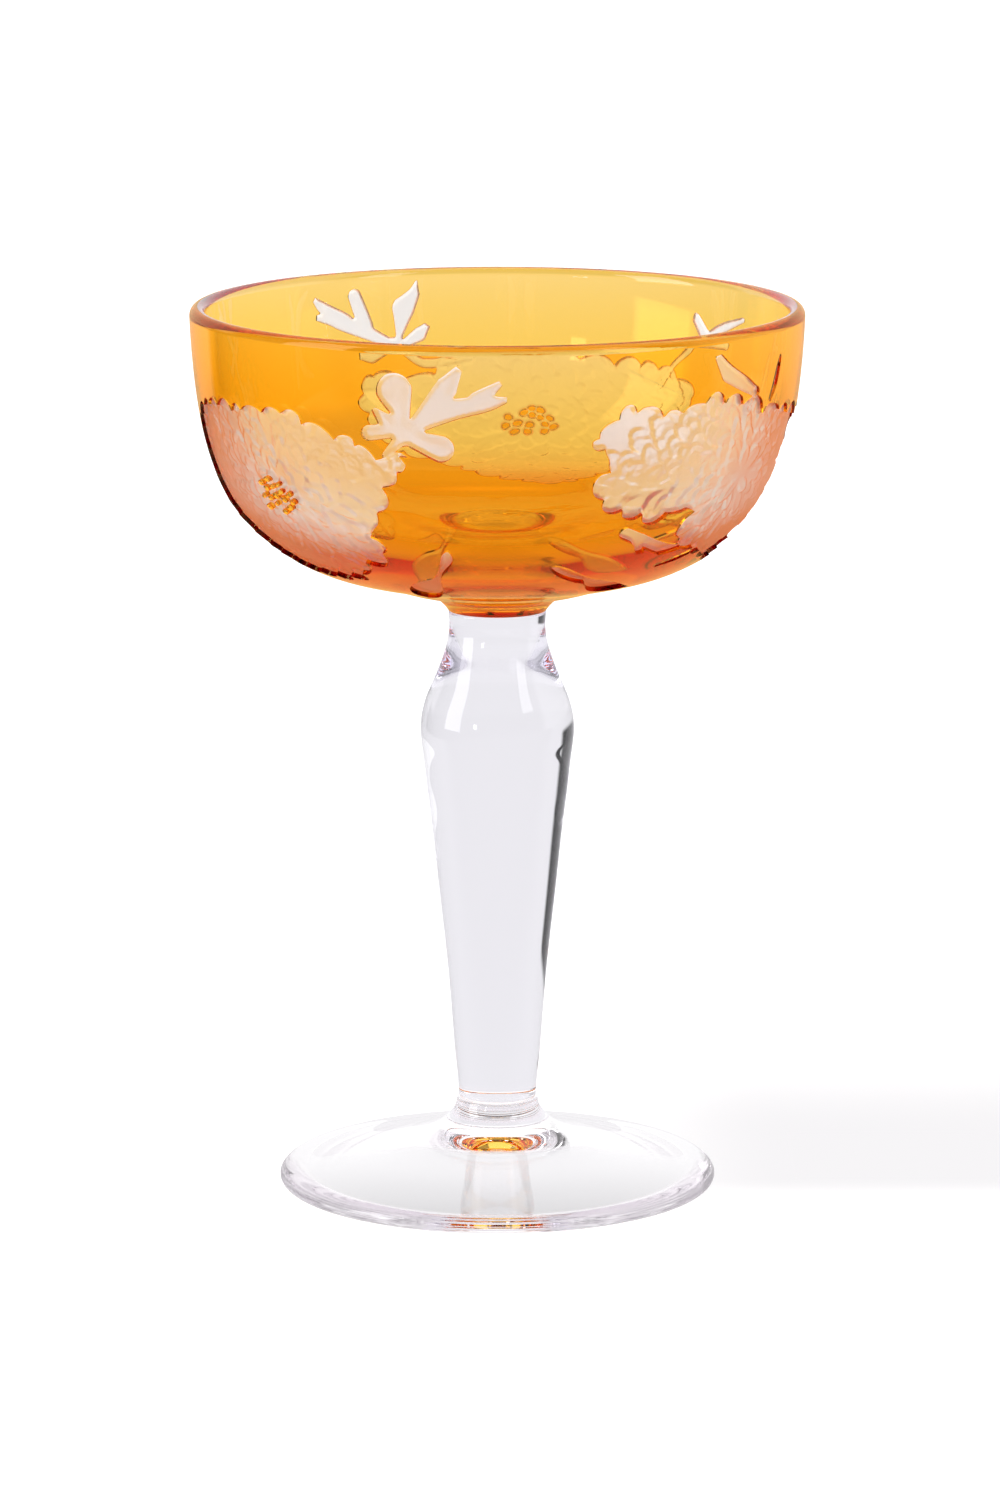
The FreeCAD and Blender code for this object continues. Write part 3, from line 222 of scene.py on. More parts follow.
# Closed outlines as "across,up" in mm from the motif's centre on the unrolled bowl;
# a slash separates the outlines of one motif.
OUTLINES = {
    "left_flower": """
-25.53,10.43 -26.44,10.55 -27.18,10.36 -27.69,9.91 -27.83,9.21 -27.55,8.36 -28.25,8.10
-28.58,7.65 -28.78,7.14 -28.86,6.60 -28.86,6.04 -28.76,5.49 -27.83,4.85 -28.60,4.12
-29.17,3.31 -29.55,2.46 -29.70,1.60 -29.54,0.75 -28.99,-0.05 -28.11,-0.77 -28.56,-1.56
-28.74,-2.32 -28.75,-3.07 -28.60,-3.78 -28.29,-4.45 -27.79,-5.05 -26.94,-5.50
-27.37,-6.34 -27.41,-7.06 -27.17,-7.66 -26.65,-8.12 -25.44,-8.19 -25.63,-9.01
-25.67,-9.78 -25.58,-10.49 -25.33,-11.11 -24.86,-11.58 -24.16,-11.85 -23.25,-11.91
-23.13,-12.67 -22.86,-13.33 -22.51,-13.93 -22.06,-14.43 -21.51,-14.81 -20.84,-15.06
-19.85,-14.85 -19.73,-15.83 -19.39,-16.55 -18.86,-17.02 -18.12,-17.14 -16.92,-16.35
-16.86,-17.99 -16.23,-18.59 -15.47,-18.91 -14.64,-19.03 -13.77,-18.98 -12.88,-18.76
-12.02,-18.55 -11.56,-19.47 -10.95,-19.82 -10.29,-19.88 -9.60,-19.69 -8.84,-18.78
-8.37,-20.07 -7.78,-20.40 -7.16,-20.48 -6.53,-20.39 -5.90,-20.16 -5.26,-19.80
-4.63,-19.29 -3.98,-20.21 -3.30,-20.48 -2.62,-20.56 -1.93,-20.48 -1.25,-20.28
-0.57,-19.95 0.08,-19.13 0.76,-20.21 1.43,-20.49 2.08,-20.52 2.72,-20.35 3.32,-20.01
3.88,-19.50 4.25,-18.40 5.12,-18.99 5.99,-19.26 6.84,-19.26 7.59,-18.94 8.10,-18.34
8.30,-17.47 8.36,-16.50 9.43,-16.45 10.13,-16.04 10.75,-15.56 11.34,-15.03 11.90,-14.44
12.42,-13.79 12.36,-12.26 14.02,-13.08 15.10,-13.02 15.97,-12.63 16.67,-11.97
17.17,-11.07 17.39,-9.97 17.60,-9.05 18.32,-8.86 18.73,-8.37 18.89,-7.77 18.82,-7.16
18.58,-6.63 18.20,-6.14 17.27,-5.72 17.84,-4.82 18.43,-4.19 19.01,-3.74 19.54,-3.26
19.96,-2.66 20.24,-1.88 20.34,-0.89 21.15,-0.62 21.89,-0.25 22.53,0.29 22.97,1.00
23.15,1.81 23.08,2.63 22.60,3.74 23.48,3.93 24.14,4.09 24.69,4.31 25.14,4.66 25.45,5.15
25.61,5.79 25.71,6.47 26.47,6.53 26.93,6.89 27.26,7.35 27.49,7.90 26.61,9.18 28.06,9.18
27.18,9.85 26.17,9.97 25.30,9.79 24.50,9.35 23.65,8.67 22.57,8.43 22.19,9.05 21.83,9.54
21.46,9.98 21.04,10.35 20.54,10.63 19.95,10.79 19.11,10.47 19.05,11.56 18.56,11.96
17.98,12.14 17.38,12.18 16.77,12.09 16.16,11.90 15.47,11.25 14.72,12.14 13.94,12.74
13.18,13.20 12.40,13.53 11.55,13.71 10.58,13.70 9.39,13.19 9.12,14.37 8.56,14.98
7.87,15.33 7.12,15.45 6.35,15.33 5.59,14.98 4.87,14.56 4.22,15.03 3.55,15.26 2.88,15.36
2.22,15.34 1.57,15.18 0.93,14.89 0.34,14.20 -0.53,14.66 -1.37,14.90 -2.20,15.02
-3.01,15.01 -3.82,14.87 -4.63,14.56 -5.45,13.93 -6.04,14.55 -6.63,14.85 -7.22,14.89
-7.81,14.65 -8.38,13.37 -9.18,14.42 -9.98,14.92 -10.77,15.15 -11.56,15.14 -12.34,14.86
-13.10,14.32 -13.84,13.56 -14.48,14.19 -15.12,14.48 -15.74,14.60 -16.35,14.55
-16.94,14.33 -17.50,13.92 -17.99,13.12 -18.78,14.04 -19.44,14.11 -20.05,13.87
-20.60,13.39 -21.05,12.61 -21.93,12.98 -22.74,13.01 -23.51,12.86 -24.23,12.54
-24.86,12.07 -25.38,11.43""",
    "right_flower": """
22.32,8.92 21.68,9.58 21.05,9.91 20.43,10.09 19.80,10.13 19.16,10.02 18.51,9.75
17.76,8.40 16.88,10.21 15.92,10.81 14.92,11.06 13.90,11.03 12.84,10.78 11.74,10.29
10.62,9.67 10.17,11.00 9.60,11.41 8.99,11.57 8.35,11.55 7.69,11.38 6.99,11.06 6.30,10.78
5.53,11.64 4.68,12.00 3.80,12.21 2.90,12.33 1.98,12.36 1.04,12.31 -0.17,11.05
-0.71,12.97 -1.49,13.81 -2.36,14.27 -3.31,14.41 -4.33,14.25 -5.42,13.79 -6.54,13.26
-6.92,14.55 -7.51,15.01 -8.15,15.22 -8.84,15.25 -9.55,15.13 -10.29,14.85 -11.10,13.94
-11.62,15.18 -12.29,15.77 -13.03,16.04 -13.78,16.00 -14.49,15.64 -15.09,14.97
-15.65,14.39 -16.36,14.49 -17.06,14.51 -17.74,14.49 -18.39,14.39 -19.02,14.20
-19.62,13.88 -20.20,13.23 -20.97,13.66 -21.68,13.89 -22.37,13.95 -23.08,13.81
-23.91,12.94 -24.48,13.99 -25.11,14.46 -25.79,14.74 -26.50,14.85 -27.26,14.82
-28.05,14.62 -28.87,14.02 -29.31,15.02 -29.93,15.36 -30.62,15.37 -31.27,15.05
-31.68,14.49 -31.85,13.81 -31.89,13.07 -32.60,12.90 -33.20,12.65 -33.74,12.38
-34.22,12.04 -34.62,11.59 -34.90,11.01 -34.85,10.16 -35.45,10.01 -35.88,9.61 -35.85,8.92
-35.46,8.40 -34.95,8.12 -34.33,8.05 -33.57,8.26 -33.31,7.60 -32.98,7.10 -32.68,6.67
-32.47,6.32 -32.38,5.92 -32.36,5.35 -31.78,4.35 -33.25,4.15 -33.99,3.38 -34.26,2.32
-34.04,1.27 -33.45,0.41 -32.60,-0.18 -31.55,-0.39 -31.58,-1.41 -31.19,-2.10 -30.63,-2.58
-29.97,-2.87 -29.24,-2.96 -28.47,-2.87 -27.59,-2.46 -27.33,-3.52 -26.86,-3.94
-26.32,-4.19 -25.74,-4.32 -25.11,-4.33 -24.44,-4.22 -23.61,-3.48 -23.16,-4.74
-22.45,-5.36 -21.64,-5.66 -20.77,-5.64 -19.95,-5.31 -19.26,-4.67 -18.71,-3.85
-17.82,-4.01 -16.95,-4.01 -16.13,-3.92 -15.39,-3.74 -14.74,-3.54 -14.12,-3.56
-12.76,-4.12 -14.01,-5.09 -14.42,-5.86 -14.60,-6.64 -14.60,-7.47 -14.37,-8.39
-13.69,-9.07 -12.86,-9.28 -12.52,-10.37 -11.83,-11.14 -11.02,-11.73 -10.14,-12.17
-9.19,-12.46 -8.17,-12.61 -7.02,-12.44 -6.64,-13.41 -6.10,-14.01 -5.44,-14.36
-4.65,-14.41 -3.61,-13.92 -3.21,-14.63 -2.76,-15.23 -2.27,-15.74 -1.72,-16.12
-1.10,-16.34 -0.37,-16.36 0.46,-16.20 0.82,-16.83 1.25,-17.31 1.72,-17.71 2.24,-18.03
2.82,-18.25 3.45,-18.38 4.17,-18.31 4.52,-19.02 5.03,-19.43 5.64,-19.66 6.30,-19.70
7.01,-19.47 7.47,-19.87 7.99,-20.12 8.54,-20.26 9.10,-20.31 9.66,-20.24 10.20,-20.06
10.69,-19.34 11.43,-20.03 12.14,-20.18 12.84,-20.15 13.50,-19.95 14.12,-19.62
14.69,-19.16 15.15,-18.37 16.07,-19.03 16.78,-18.99 17.43,-18.76 18.02,-18.40
18.56,-17.93 19.03,-17.37 19.25,-16.38 20.26,-16.56 21.18,-16.51 22.02,-16.29
22.75,-15.88 23.31,-15.27 23.66,-14.43 23.87,-13.49 24.69,-13.31 25.33,-12.93
25.87,-12.45 26.32,-11.89 26.67,-11.26 26.93,-10.57 26.43,-9.38 27.49,-9.13 28.37,-8.75
29.12,-8.25 29.66,-7.61 29.92,-6.82 29.83,-5.88 29.53,-4.89 30.35,-4.60 30.71,-4.10
30.92,-3.55 31.01,-2.97 30.98,-2.37 30.85,-1.77 30.54,-1.16 31.30,-0.49 31.35,0.26
31.20,1.00 30.88,1.70 29.78,2.19 30.57,3.02 30.82,3.77 30.82,4.47 30.58,5.09 30.11,5.60
29.41,5.97 28.58,6.21 28.76,7.13 28.60,7.90 28.18,8.49 27.49,8.83 26.36,8.38 26.12,9.12
25.62,9.69 24.96,10.08 24.28,10.24 23.61,10.14 22.97,9.74""",
    "back_flower": """
29.16,9.65 28.50,10.21 27.63,10.41 26.74,10.39 25.89,10.19 25.12,9.84 24.39,9.32
23.74,8.34 22.73,9.10 21.92,9.34 21.14,9.50 20.34,9.62 19.49,9.70 18.59,9.74 17.44,9.36
17.27,10.57 16.83,11.24 16.28,11.70 15.63,11.97 14.89,12.04 14.08,11.90 13.31,11.71
12.87,12.21 12.38,12.57 11.84,12.84 11.29,12.98 10.71,12.99 10.12,12.84 9.53,12.55
8.94,12.97 8.33,13.12 7.71,13.12 7.09,13.01 6.46,12.20 5.85,12.85 5.24,13.24 4.63,13.48
4.01,13.55 3.38,13.43 2.76,13.09 2.13,12.43 1.50,12.99 0.87,13.29 0.24,13.46 -0.40,13.49
-1.03,13.36 -1.66,13.07 -2.28,12.46 -2.90,12.96 -3.52,13.29 -4.14,13.39 -4.74,13.17
-5.32,12.60 -5.94,12.85 -6.57,13.01 -7.18,13.05 -7.79,12.90 -8.33,11.92 -9.33,12.51
-10.31,12.83 -11.28,13.01 -12.24,13.01 -13.18,12.82 -14.11,12.41 -15.05,11.30
-15.83,12.07 -16.60,12.57 -17.37,12.91 -18.14,13.02 -18.90,12.87 -19.67,12.40
-20.42,11.73 -21.20,12.53 -21.96,12.62 -22.72,12.46 -23.44,12.12 -24.10,11.34
-24.81,11.80 -25.51,12.01 -26.19,12.08 -26.85,11.98 -27.46,11.69 -27.99,11.20
-28.32,10.27 -29.37,10.39 -30.37,10.27 -31.31,9.95 -32.14,9.37 -32.73,8.52 -32.84,7.46
-32.25,6.67 -32.31,5.71 -31.89,4.87 -31.31,4.16 -30.65,3.54 -29.93,3.00 -29.16,2.48
-27.53,2.34 -28.26,0.94 -28.67,-0.02 -28.85,-0.92 -28.72,-1.83 -28.23,-2.67 -27.37,-3.32
-26.69,-3.96 -26.76,-4.68 -26.62,-5.32 -26.38,-5.91 -26.04,-6.44 -25.62,-6.92
-25.12,-7.33 -24.00,-7.25 -24.07,-8.16 -23.99,-8.98 -23.77,-9.72 -23.38,-10.32
-22.80,-10.73 -22.00,-10.86 -20.96,-10.63 -20.82,-11.73 -20.34,-12.41 -19.75,-12.94
-19.08,-13.34 -18.34,-13.63 -17.52,-13.82 -16.53,-13.81 -16.56,-14.87 -16.27,-15.46
-15.80,-15.84 -15.15,-16.05 -14.16,-15.99 -14.41,-17.16 -14.09,-17.81 -13.65,-18.37
-13.13,-18.86 -12.55,-19.32 -11.89,-19.72 -10.93,-19.85 -11.25,-20.83 -11.15,-21.49
-10.87,-22.02 -10.43,-22.41 -9.86,-22.64 -9.18,-22.69 -8.24,-22.18 -7.89,-23.30
-7.15,-24.00 -6.21,-24.36 -5.24,-24.36 -4.34,-24.03 -3.56,-23.38 -2.83,-22.77
-2.15,-22.83 -1.50,-22.78 -0.89,-22.58 -0.38,-22.20 -0.36,-20.91 0.64,-21.14 1.57,-21.18
2.42,-21.07 3.17,-20.76 3.76,-20.23 4.15,-19.41 4.07,-17.98 5.50,-18.42 6.48,-18.23
7.28,-17.79 7.92,-17.17 8.42,-16.38 8.77,-15.43 9.05,-14.42 9.99,-14.34 10.80,-14.11
11.45,-13.72 11.86,-13.06 11.65,-11.71 13.07,-11.96 13.96,-11.64 14.70,-11.17
15.36,-10.59 15.98,-9.93 16.59,-9.17 17.21,-8.30 18.22,-8.41 19.17,-8.38 20.08,-8.26
20.93,-8.00 21.72,-7.55 22.40,-6.90 22.91,-6.00 23.78,-6.31 24.34,-6.07 24.77,-5.63
25.06,-5.06 25.13,-4.29 26.05,-4.09 26.75,-3.63 27.33,-3.07 27.81,-2.42 28.19,-1.71
28.49,-0.94 28.59,-0.01 29.55,-0.02 29.97,0.40 30.21,0.94 30.33,1.55 29.93,2.45
30.76,2.74 31.41,3.20 31.90,3.78 32.18,4.47 32.18,5.22 31.83,5.94 31.10,6.53 31.42,7.22
31.52,7.92 31.43,8.62 31.15,9.26 30.64,9.76 29.95,10.01""",
    "front_sprig": """
-12.40,-3.45 -12.31,-3.93 -12.09,-4.30 -11.77,-4.57 -11.29,-4.74 -10.89,-4.74
-7.53,-4.14 -7.14,-4.17 -7.12,-4.33 -7.26,-4.57 -9.13,-7.05 -9.15,-7.45 -9.04,-7.61
-8.81,-7.73 -8.41,-7.65 -5.37,-5.35 -5.13,-5.24 -4.81,-5.19 -4.49,-5.30 -0.01,-7.66
0.63,-7.78 1.27,-7.71 1.75,-7.52 2.20,-7.21 2.55,-6.81 2.81,-6.33 2.93,-5.85 2.94,-5.29
2.84,-4.81 2.62,-4.33 2.12,-3.77 1.43,-3.38 -1.61,-2.97 -1.83,-2.89 -1.88,-2.81
-1.82,-2.73 -1.34,-2.49 3.67,-0.54 8.87,0.67 11.51,2.12 11.68,2.31 11.72,2.55 11.59,2.86
11.35,2.99 9.83,3.06 9.50,3.19 9.62,3.51 10.79,4.88 10.83,5.11 10.74,5.35 10.39,5.56
10.15,5.52 6.07,3.70 5.43,3.03 5.19,2.87 3.35,2.65 2.97,2.71 2.97,2.87 3.36,3.35
3.57,3.75 3.68,4.47 4.47,7.19 4.41,7.51 4.23,7.75 3.99,7.87 3.67,7.87 3.43,7.75
1.35,6.06 0.87,5.79 0.56,5.51 -3.61,-0.45 -3.93,-0.79 -4.04,-0.73 -4.06,-0.33 -3.59,4.31
-3.74,4.71 -4.33,5.56 -4.73,5.90 -5.21,6.18 -5.69,6.36 -6.25,6.46 -7.29,6.37 -8.17,5.98
-8.94,5.27 -9.42,4.39 -9.58,3.43 -9.43,2.47 -7.58,0.31 -7.33,-0.09 -7.45,-0.17
-7.76,-0.09 -9.77,0.79 -10.17,0.76 -10.38,0.55 -10.42,0.23 -9.45,-1.61 -9.43,-1.93
-9.69,-2.06 -11.29,-2.19 -11.69,-2.32 -12.01,-2.55 -12.22,-2.81""",
    "back_left_sprig": """
-14.90,-6.39 -14.77,-6.79 -14.43,-7.04 -6.99,-8.22 -4.43,-7.53 -1.39,-4.90 -0.75,-4.59
-0.27,-4.66 3.33,-6.56 3.65,-6.66 4.13,-6.64 6.45,-5.82 6.75,-5.59 6.86,-5.27 6.77,-4.88
6.53,-4.66 6.29,-4.58 4.13,-4.45 2.08,-3.67 1.85,-3.51 1.88,-3.35 3.41,-2.72 9.89,-0.35
11.17,0.45 14.29,1.51 14.54,1.85 14.56,2.09 14.50,2.33 14.21,2.61 13.65,2.73 13.57,2.89
14.17,3.45 15.08,4.89 15.16,5.13 15.11,5.37 14.93,5.56 14.69,5.63 14.45,5.58 9.65,3.22
8.53,2.76 7.41,2.09 6.77,1.49 6.53,1.40 6.46,1.53 6.52,1.85 7.57,4.81 7.63,5.37
7.43,5.93 7.01,6.33 6.45,6.50 5.81,6.39 5.41,6.10 5.17,5.75 3.01,0.65 2.91,-0.23
2.80,-0.47 -0.27,-2.27 -0.59,-2.40 -0.83,-2.41 -1.13,-2.23 -1.31,-1.75 -0.94,1.77
-0.76,2.57 -0.79,3.05 -0.94,3.53 -1.23,4.01 -1.63,4.38 -2.35,4.72 -3.87,5.71 -4.19,5.99
-5.17,7.29 -5.39,7.36 -5.52,7.21 -5.71,5.61 -5.86,5.13 -5.81,4.65 -4.95,2.57 -4.90,2.25
-4.48,1.37 -4.29,1.13 -2.59,-1.99 -2.49,-2.47 -2.59,-2.57 -2.83,-2.47 -4.99,-0.74
-5.47,-0.58 -6.67,0.05 -6.99,0.08 -7.31,-0.07 -7.51,-0.39 -7.51,-0.71 -6.88,-1.99
-6.73,-2.47 -6.40,-2.87 -6.03,-3.09 -3.36,-3.99 -3.20,-4.15 -3.22,-4.31 -5.23,-6.08
-7.07,-6.28 -14.27,-5.77 -14.51,-5.82 -14.74,-5.99""",
    "back_right_sprig": """
-9.89,6.61 -9.81,6.34 -9.57,6.15 -3.57,3.71 -1.67,2.77 -1.27,2.45 -1.41,2.37 -1.81,2.37
-6.29,2.79 -6.61,2.76 -7.09,2.46 -7.32,1.97 -7.24,1.41 -6.88,1.01 -6.45,0.87 1.39,0.69
2.11,0.55 2.35,0.32 2.83,-0.51 6.75,-3.27 8.83,-6.93 9.07,-7.05 9.31,-7.04 9.55,-6.87
9.64,-6.59 9.58,-6.35 7.42,-2.75 3.78,0.37 3.05,1.97 2.83,2.22 2.27,2.53 2.31,2.77
4.17,5.25 4.25,5.57 4.21,5.89 4.06,6.21 3.80,6.45 3.31,6.60 2.75,6.44 0.58,4.21
0.27,3.81 0.11,3.74 -0.13,3.81 -2.85,5.49 -9.33,7.08 -9.57,7.05 -9.73,6.96""",
    "right_sprig": """
-9.82,4.89 -9.69,4.41 -7.88,1.29 -7.51,0.87 -2.55,-1.28 0.01,-2.16 0.27,-2.31 0.38,-2.47
0.41,-2.71 -0.01,-4.95 0.06,-5.19 0.25,-5.37 0.57,-5.42 0.89,-5.19 1.53,-3.03 2.11,-2.23
2.23,-1.75 2.12,-1.27 1.76,-0.87 0.81,-0.45 -1.43,1.04 -5.91,3.29 -8.63,5.55 -9.03,5.65
-9.43,5.54 -9.69,5.29 /
5.82,-3.67 5.85,-3.86 5.99,-3.99 6.17,-4.03 6.33,-3.96 8.16,-1.91 9.11,1.37 9.27,3.21
9.16,3.45 8.89,3.45 7.92,1.85 6.80,-1.43""",
    "low_right_leaf": """
-10.07,4.77 -9.93,4.21 -9.59,3.83 -7.19,2.63 -6.55,2.20 -5.99,1.55 -4.71,-0.38
-4.39,-0.60 -3.99,-0.60 -3.67,-0.35 -3.55,-0.03 -3.64,0.53 -3.51,0.66 -3.19,0.56
0.09,-1.16 0.57,-1.29 4.09,-0.58 4.50,-0.27 4.64,0.21 4.52,0.61 4.17,0.92 0.97,1.27
-4.23,3.72 -5.19,4.31 -6.23,4.68 -8.63,5.83 -9.11,5.86 -9.62,5.65 -9.95,5.25 /
1.49,-4.75 1.61,-4.99 1.85,-5.06 5.05,-4.13 8.33,-2.36 8.48,-2.19 8.54,-1.95 8.47,-1.71
8.33,-1.57 8.09,-1.48 7.85,-1.53 4.49,-2.97 1.69,-4.44 1.53,-4.59""",
    "low_mid_leaf": """
-9.20,3.52 -7.00,1.83 -4.61,0.27 -2.69,-0.51 -1.65,-2.67 0.06,-4.96 2.58,-6.44
4.49,-6.63 6.82,-6.28 8.35,-5.20 4.56,-1.89 1.70,-0.17 -1.02,0.86 -3.35,2.06 -6.35,4.23
-8.61,5.71 -10.20,6.42 -11.15,6.35 -10.90,5.29""",
    "low_left_leaf": """
4.15,9.85 3.47,8.86 2.91,7.02 2.19,4.93 1.21,2.64 -0.07,1.56 -1.58,0.94 -3.41,-0.66
-4.99,-3.01 -5.33,-5.71 -5.32,-9.98 -6.07,-16.16 -4.17,-15.13 -0.68,-7.60 0.71,-4.05
1.15,-1.30 1.64,1.76 2.87,4.02 4.30,5.97 5.16,7.69 5.31,9.20 4.85,10.12""",
}
# Amber studs left standing in the eye of a flower:
# across, up, half length, half width, turn in degrees
STUDS = {
    "left_flower": [
        (-3.14, -0.25, 0.79, 0.44, 27), (-3.04, 2.02, 0.74, 0.48, -6),
        (-2.70, -2.26, 0.76, 0.44, -22), (-1.91, 1.20, 0.72, 0.40, -25),
        (-1.47, -0.46, 0.71, 0.47, -5), (-1.13, 2.86, 0.78, 0.40, -14),
        (-0.24, -1.33, 0.63, 0.43, 11), (-0.16, 1.69, 0.78, 0.41, 7),
        (0.18, 0.11, 0.80, 0.47, -21), (1.25, -2.65, 0.73, 0.48, -7),
        (1.33, 2.19, 0.64, 0.40, 23), (1.46, 0.85, 0.80, 0.47, 24),
        (1.90, -0.32, 0.76, 0.46, -32), (2.80, -1.72, 0.68, 0.49, -2),
        (3.33, 0.62, 0.71, 0.49, 23), (3.90, -0.61, 0.67, 0.46, -10),
    ],
    "back_flower": [
        (-4.18, -0.83, 0.76, 0.44, -17), (-3.34, 0.82, 0.68, 0.44, 27),
        (-2.67, -0.40, 0.69, 0.44, 34), (-2.59, -1.76, 0.69, 0.47, -26),
        (-1.72, 0.94, 0.63, 0.43, 29), (-1.62, 2.36, 0.79, 0.50, 23),
        (-0.17, 1.43, 0.65, 0.47, 24), (-0.05, 2.66, 0.64, 0.43, -3),
        (0.23, -0.62, 0.66, 0.48, -5), (0.49, -1.89, 0.62, 0.47, 21),
        (1.29, 1.88, 0.77, 0.45, -28), (2.43, -0.28, 0.80, 0.44, -13),
        (2.86, -1.96, 0.80, 0.41, -18), (4.11, 0.85, 0.62, 0.50, 23),
        (4.50, -0.77, 0.67, 0.50, -20),
    ],
}


def read_outline(text):
    return [tuple(float(value) for value in pair.split(",")) for pair in text.split()]


def rounded(points, rounds=2, cusp=48.0):
    """Cut the corners of a closed outline but keep notches sharper than cusp degrees."""
    for _ in range(rounds):
        result = []
        for i, here in enumerate(points):
            before, after = points[i - 1], points[(i + 1) % len(points)]
            turn = (math.atan2(after[1] - here[1], after[0] - here[0])
                    - math.atan2(here[1] - before[1], here[0] - before[0]))
            turn = (turn + math.pi) % (2 * math.pi) - math.pi
            if abs(math.degrees(turn)) > cusp:
                result.append(here)
                continue
            for other in (before, after):
                result.append((here[0] * 0.75 + other[0] * 0.25,
                               here[1] * 0.75 + other[1] * 0.25))
        points = result
    return points


def resampled(points, step):
    """Divide the long sides of a closed outline and drop the very short ones."""
    result = []
    for i, start in enumerate(points):
        end = points[(i + 1) % len(points)]
        length = math.hypot(end[0] - start[0], end[1] - start[1])
        if length < step * 0.35 and result:
            continue
        count = max(1, int(round(length / step)))
        for k in range(count):
            result.append((start[0] + (end[0] - start[0]) * k / count,
                           start[1] + (end[1] - start[1]) * k / count))
    return result


def stud_outline(x, y, half_length, half_width, degrees):
    """A slightly egg-shaped ring."""
    turn = math.radians(degrees)
    ring = []
    for k in range(STUD_POINTS):
        angle = 2 * math.pi * k / STUD_POINTS
        long = half_length * math.cos(angle)
        wide = half_width * math.sin(angle) * (1 + 0.12 * math.cos(angle))
        ring.append((x + long * math.cos(turn) - wide * math.sin(turn),
                     y + long * math.sin(turn) + wide * math.cos(turn)))
    return ring


def to_domain(points, motif):
    """Motif millimetres to (theta, q), with theta counted from the seam."""
    azimuth, arc_centre = CENTRES[motif]
    points = np.array(points)
    arc = np.clip(arc_centre + points[:, 1], 0.05, ARC_END - 0.35)
    theta = math.radians(azimuth) + points[:, 0] / radius_at(arc)
    theta = (theta - SEAM) % (2 * math.pi) + SEAM
    return np.c_[theta, q_at(arc)]


WINDOWS = {
    motif: [to_domain(resampled(rounded(read_outline(part)), OUTLINE_STEP), motif)
            for part in text.split("/")]
    for motif, text in OUTLINES.items()}
WINDOW_POLYGONS = [polygon for group in WINDOWS.values() for polygon in group]
# (motif, polygon) of every stud
STUD_POLYGONS = [(motif, to_domain(stud_outline(*row), motif))
                 for motif, rows in STUDS.items() for row in rows]
ALL_POLYGONS = WINDOW_POLYGONS + [polygon for _, polygon in STUD_POLYGONS]


# ------------------------------------------------------- unrolled bowl mesh
def inside(points, polygon):
    """Which points are inside a polygon."""
    hit = np.zeros(len(points), bool)
    boxed = (points > polygon.min(0)) & (points < polygon.max(0))
    near = np.where(boxed.all(axis=1))[0]
    start, end = polygon, np.roll(polygon, -1, axis=0)
    batch = 20000
    for first in range(0, len(near), batch):
        index = near[first:first + batch]
        x, y = points[index, :1], points[index, 1:]
        spans = (start[:, 1] > y) != (end[:, 1] > y)
        with np.errstate(divide="ignore", invalid="ignore"):
            crossing = start[:, 0] + ((y - start[:, 1]) * (end[:, 0] - start[:, 0])
                                      / (end[:, 1] - start[:, 1]))
        hit[index] = np.sum(spans & (x < crossing), axis=1) % 2 == 1
    return hit


def inside_any(points, polygons):
    return np.logical_or.reduce([inside(points, polygon) for polygon in polygons])


def edge_distance(points, far=9.0, reach=0.09, batch=1500):
    """Distance in mm to the nearest outline; far where a batch has none within reach."""
    start = np.vstack(ALL_POLYGONS)
    side = np.vstack([np.roll(polygon, -1, axis=0) for polygon in ALL_POLYGONS]) - start
    length2 = (side ** 2).sum(1) + 1e-18
    distance = np.full(len(points), far)
    radius = radius_at(arc_at(points[:, 1]))
    for first in range(0, len(points), batch):
        part = slice(first, first + batch)
        here = points[part]
        boxed = (start > here.min(0) - reach) & (start < here.max(0) + reach)
        near = np.where(boxed.all(axis=1))[0]
        if len(near) == 0:
            continue
        offset = here[:, None, :] - start[None, near]
        share = np.clip((offset * side[None, near]).sum(2) / length2[None, near], 0, 1)
        miss = offset - share[:, :, None] * side[None, near]
        distance[part] = np.sqrt((miss ** 2).sum(2).min(1)) * radius[part]
    return distance


def point_rows(arcs, spacing):
    """Staggered rows of domain points, leaving the seam free."""
    rows = []
    for j, arc in enumerate(arcs):
        count = max(40, int(round(2 * math.pi * float(radius_at(arc)) / spacing)))
        share = (np.arange(1 - j % 2, count) + 0.5 * (j % 2)) / count
        rows.append(np.c_[SEAM + 2 * math.pi * share, np.full(len(share), q_at(arc))])
    return np.vstack(rows)


